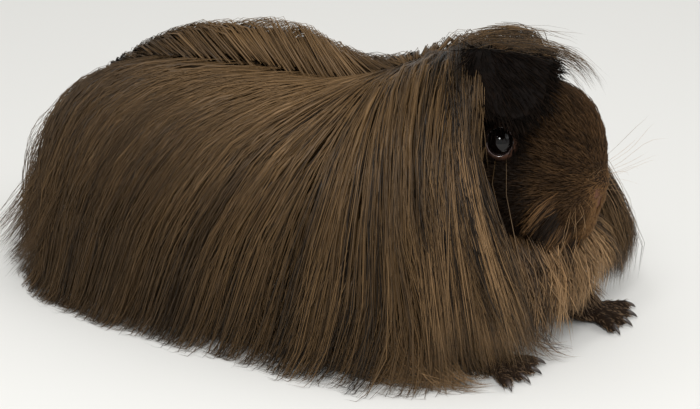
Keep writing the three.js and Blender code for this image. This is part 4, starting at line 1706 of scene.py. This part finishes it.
# =====================================================================
# stage
# =====================================================================
def set_camera():
    """The camera of the main view."""
    a, e = math.radians(CAMERA["azimuth"]), math.radians(CAMERA["elevation"])
    back = Vector((math.sin(a) * math.cos(e), -math.cos(a) * math.cos(e), math.sin(e)))
    target = Vector(CAMERA["target"])
    data = bpy.data.cameras.new("camera")
    data.lens = CAMERA["lens"]
    data.sensor_width = 36.0
    data.sensor_fit = "HORIZONTAL"
    data.clip_start = 0.02
    camera = bpy.data.objects.new("camera", data)
    camera.location = target + back * CAMERA["distance"]
    camera.rotation_euler = back.to_track_quat("Z", "Y").to_euler()
    bpy.context.scene.collection.objects.link(camera)
    bpy.context.scene.camera = camera


def area_light(name, place, size, power):
    """One round lamp that shines at the animal."""
    data = bpy.data.lights.new(name, "AREA")
    data.shape = "DISK"
    data.size = size
    data.energy = power
    lamp = bpy.data.objects.new(name, data)
    lamp.location = place
    lamp.rotation_euler = (Vector(place) - Vector(LAMP_TARGET)).to_track_quat("Z", "Y").to_euler()
    bpy.context.scene.collection.objects.link(lamp)


def set_stage():
    """The sky, the lamps and the floor."""
    scene = bpy.context.scene
    scene.view_settings.view_transform = "Standard"
    world = bpy.data.worlds.new("sky")
    scene.world = world
    world.use_nodes = True
    sky = world.node_tree.nodes["Background"]
    sky.inputs["Color"].default_value = (*SKY_COLOR, 1.0)
    sky.inputs["Strength"].default_value = SKY_STRENGTH
    for name, lamp in LAMPS.items():
        area_light(name, *lamp)
    half = FLOOR_SIZE / 2
    corner = [(-half, -half, 0), (half, -half, 0), (half, half, 0), (-half, half, 0)]
    mesh = bpy.data.meshes.new("floor")
    mesh.from_pydata(corner, [], [(0, 1, 2, 3)])
    floor = bpy.data.objects.new("floor", mesh)
    scene.collection.objects.link(floor)
    material, _, shader = finish_of("floor_paper", 0.9, 0.0)
    shader.inputs["Base Color"].default_value = (*FLOOR_COLOR, 1.0)
    mesh.materials.append(material)


# =====================================================================
# build
# =====================================================================
FLESH_NODES = ["head", "neck", "trunk", "rump", "ear_left", "ear_right"]
FLESH_NODES += ["foreleg_left", "foreleg_right", "hindleg_left", "hindleg_right"]
SWEPT = {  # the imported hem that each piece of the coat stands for
    "coat_mane_left": ["sweep_breast_left"],
    "coat_flank_left": ["sweep_flank_left"],
    "coat_mane_right": ["sweep_breast_right"],
    "coat_flank_right": ["sweep_flank_right"],
    "coat_rump_right": ["sweep_train"],
}


def skin_values(points):
    """How bare and how flushed the skin is at each point."""
    eye = eye_distance(points)
    lids = 1 - smooth_step(eye, 8.0, 10.5)
    # the ears take the near-black bare colour: their own dark skin and painted shade
    ears = smooth_step(np.abs(flesh_at(points)), 1.5, 3.0) * (points[:, 2] > 80)
    feet = 0.5 * (1 - smooth_step(points[:, 2], 6.0, 14.0))
    q = points - (MID_X, 0, 0)
    q[:, 0] = np.abs(q[:, 0])
    x, y, z = q.T
    nostril = np.linalg.norm(q - NOSTRIL, axis=1)
    lip = np.abs(x - 2.4) + 0.35 * np.maximum(np.abs(z - 58.5) - 3.0, 0) + 6.0 * (y > -109)
    before_eye = low_on(y, EYE_Y - 5.0, EYE_Y + 2.0) * low_on(z, EYE_Z - 3.0, EYE_Z + 5.0)
    flush = [
        (0.12 + 0.25 * before_eye) * (1 - smooth_step(eye, 7.0, 10.0)),
        0.75 * (1 - smooth_step(nostril, 1.6, 3.2)),
        0.8 * (1 - smooth_step(lip, 1.4, 3.2)) * smooth_step(z, 50, 53) * low_on(z, 63, 66),
    ]
    return {"bare": np.maximum.reduce([lids, ears, feet]), "flush": np.maximum.reduce(flush)}


def placed(piece, nodes=()):
    """Puts a piece on the one body and hides the nodes that it stands for."""
    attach(piece, "root")
    if nodes:
        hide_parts(*nodes)


def coat_maps():
    """How far the flesh and the coat reach in each direction, the coat always beyond the flesh."""
    inner = blurred(flesh_map(), 1)
    top = np.cos(np.linspace(-math.pi / 2, math.pi / 2, TURNS))[None, :]
    outer = blurred(coat_map(), 2) + TOP_LOFT * top**2
    return inner, np.maximum(outer, inner + LEAST_COAT)


def build_coat(hair, rng):
    """All long hair: each side's strands, locks and sheaves, then the sheaves in the middle."""
    maps = coat_maps()
    for side, sign in SIDES.items():
        pieces = long_coat(side, maps, hair["coat_hair"], rng)
        pieces.append(under_coat(side, maps, hair["coat_hair"], rng))
        for name, guides, look, finish, mirror in (
            ("coat_curtain", MANE[side], MANE_LOOK, "mane_hair", 1.0),
            ("forelock", FORELOCK, FORELOCK_LOOK, "coat_hair", -sign),
            ("whiskers", WHISKERS, WHISKER_LOOK, "breast_hair", -sign),
            ("ear_wisps", EAR_WISPS[side], WISP_LOOKS[side], "coat_hair", 1.0),
            ("coat_hem", HEM, HEM_LOOK, "mane_hair", -sign),
            ("ruff", RUFF, RUFF_LOOK, "face_hair", -sign),
        ):
            pieces.append(sheaf(f"{name}_{side}", guides, look, hair[finish], rng, mirror))
        for piece in pieces:
            placed(piece, SWEPT.get(piece.name, ()))
    for name, guides, look, finish in (
        ("coat_breast", BREAST, BREAST_LOOK, "breast_hair"),
        ("coat_fan_right", FAN, FAN_LOOK, "mane_hair"),
        ("coat_crown", CROWN, CROWN_LOOK, "face_hair"),
        ("coat_fringe_left", MANE["left"][3:], FRINGE_LOOK, "breast_hair"),
        ("coat_train", TRAIN, TRAIN_LOOK, "coat_hair"),
    ):
        placed(sheaf(name, guides, look, hair[finish], rng))


def build():
    """Makes all pieces and gives each its place in the frame."""
    rng = np.random.default_rng(SEED)
    hair = {name: hair_finish(name, *look) for name, look in HAIR.items()}
    skin_look = skin_finish()
    points, quads = skin_arrays()
    skin = shell("skin", points, quads, skin_look, values=skin_values(points))
    placed(skin, FLESH_NODES)
    build_coat(hair, rng)
    for piece in face_fur(points, quads, hair["face_hair"], rng):
        placed(piece)
    for side in SIDES:
        placed(ear_fur(side, points, quads, hair["ear_hair"], rng))
    placed(leg_fur(points, quads, hair["foot_hair"], rng))
    wet_eye = eye_finish()
    lid_edge = plain_finish("lid_edge", (0.045, 0.027, 0.024), (0.09, 0.055, 0.048), 0.15, 900.0, 1.0)
    for side in SIDES:
        placed(eye_ball(side, wet_eye), ["eye_" + side])
        placed(eyelid_rim(side, lid_edge))
    horn = plain_finish("claw_horn", (0.010, 0.007, 0.006), (0.045, 0.030, 0.022), 0.3, 500.0, 0.3)
    for name in CLAWS:
        placed(claw(name, horn), [name])


set_camera()
set_stage()
build()
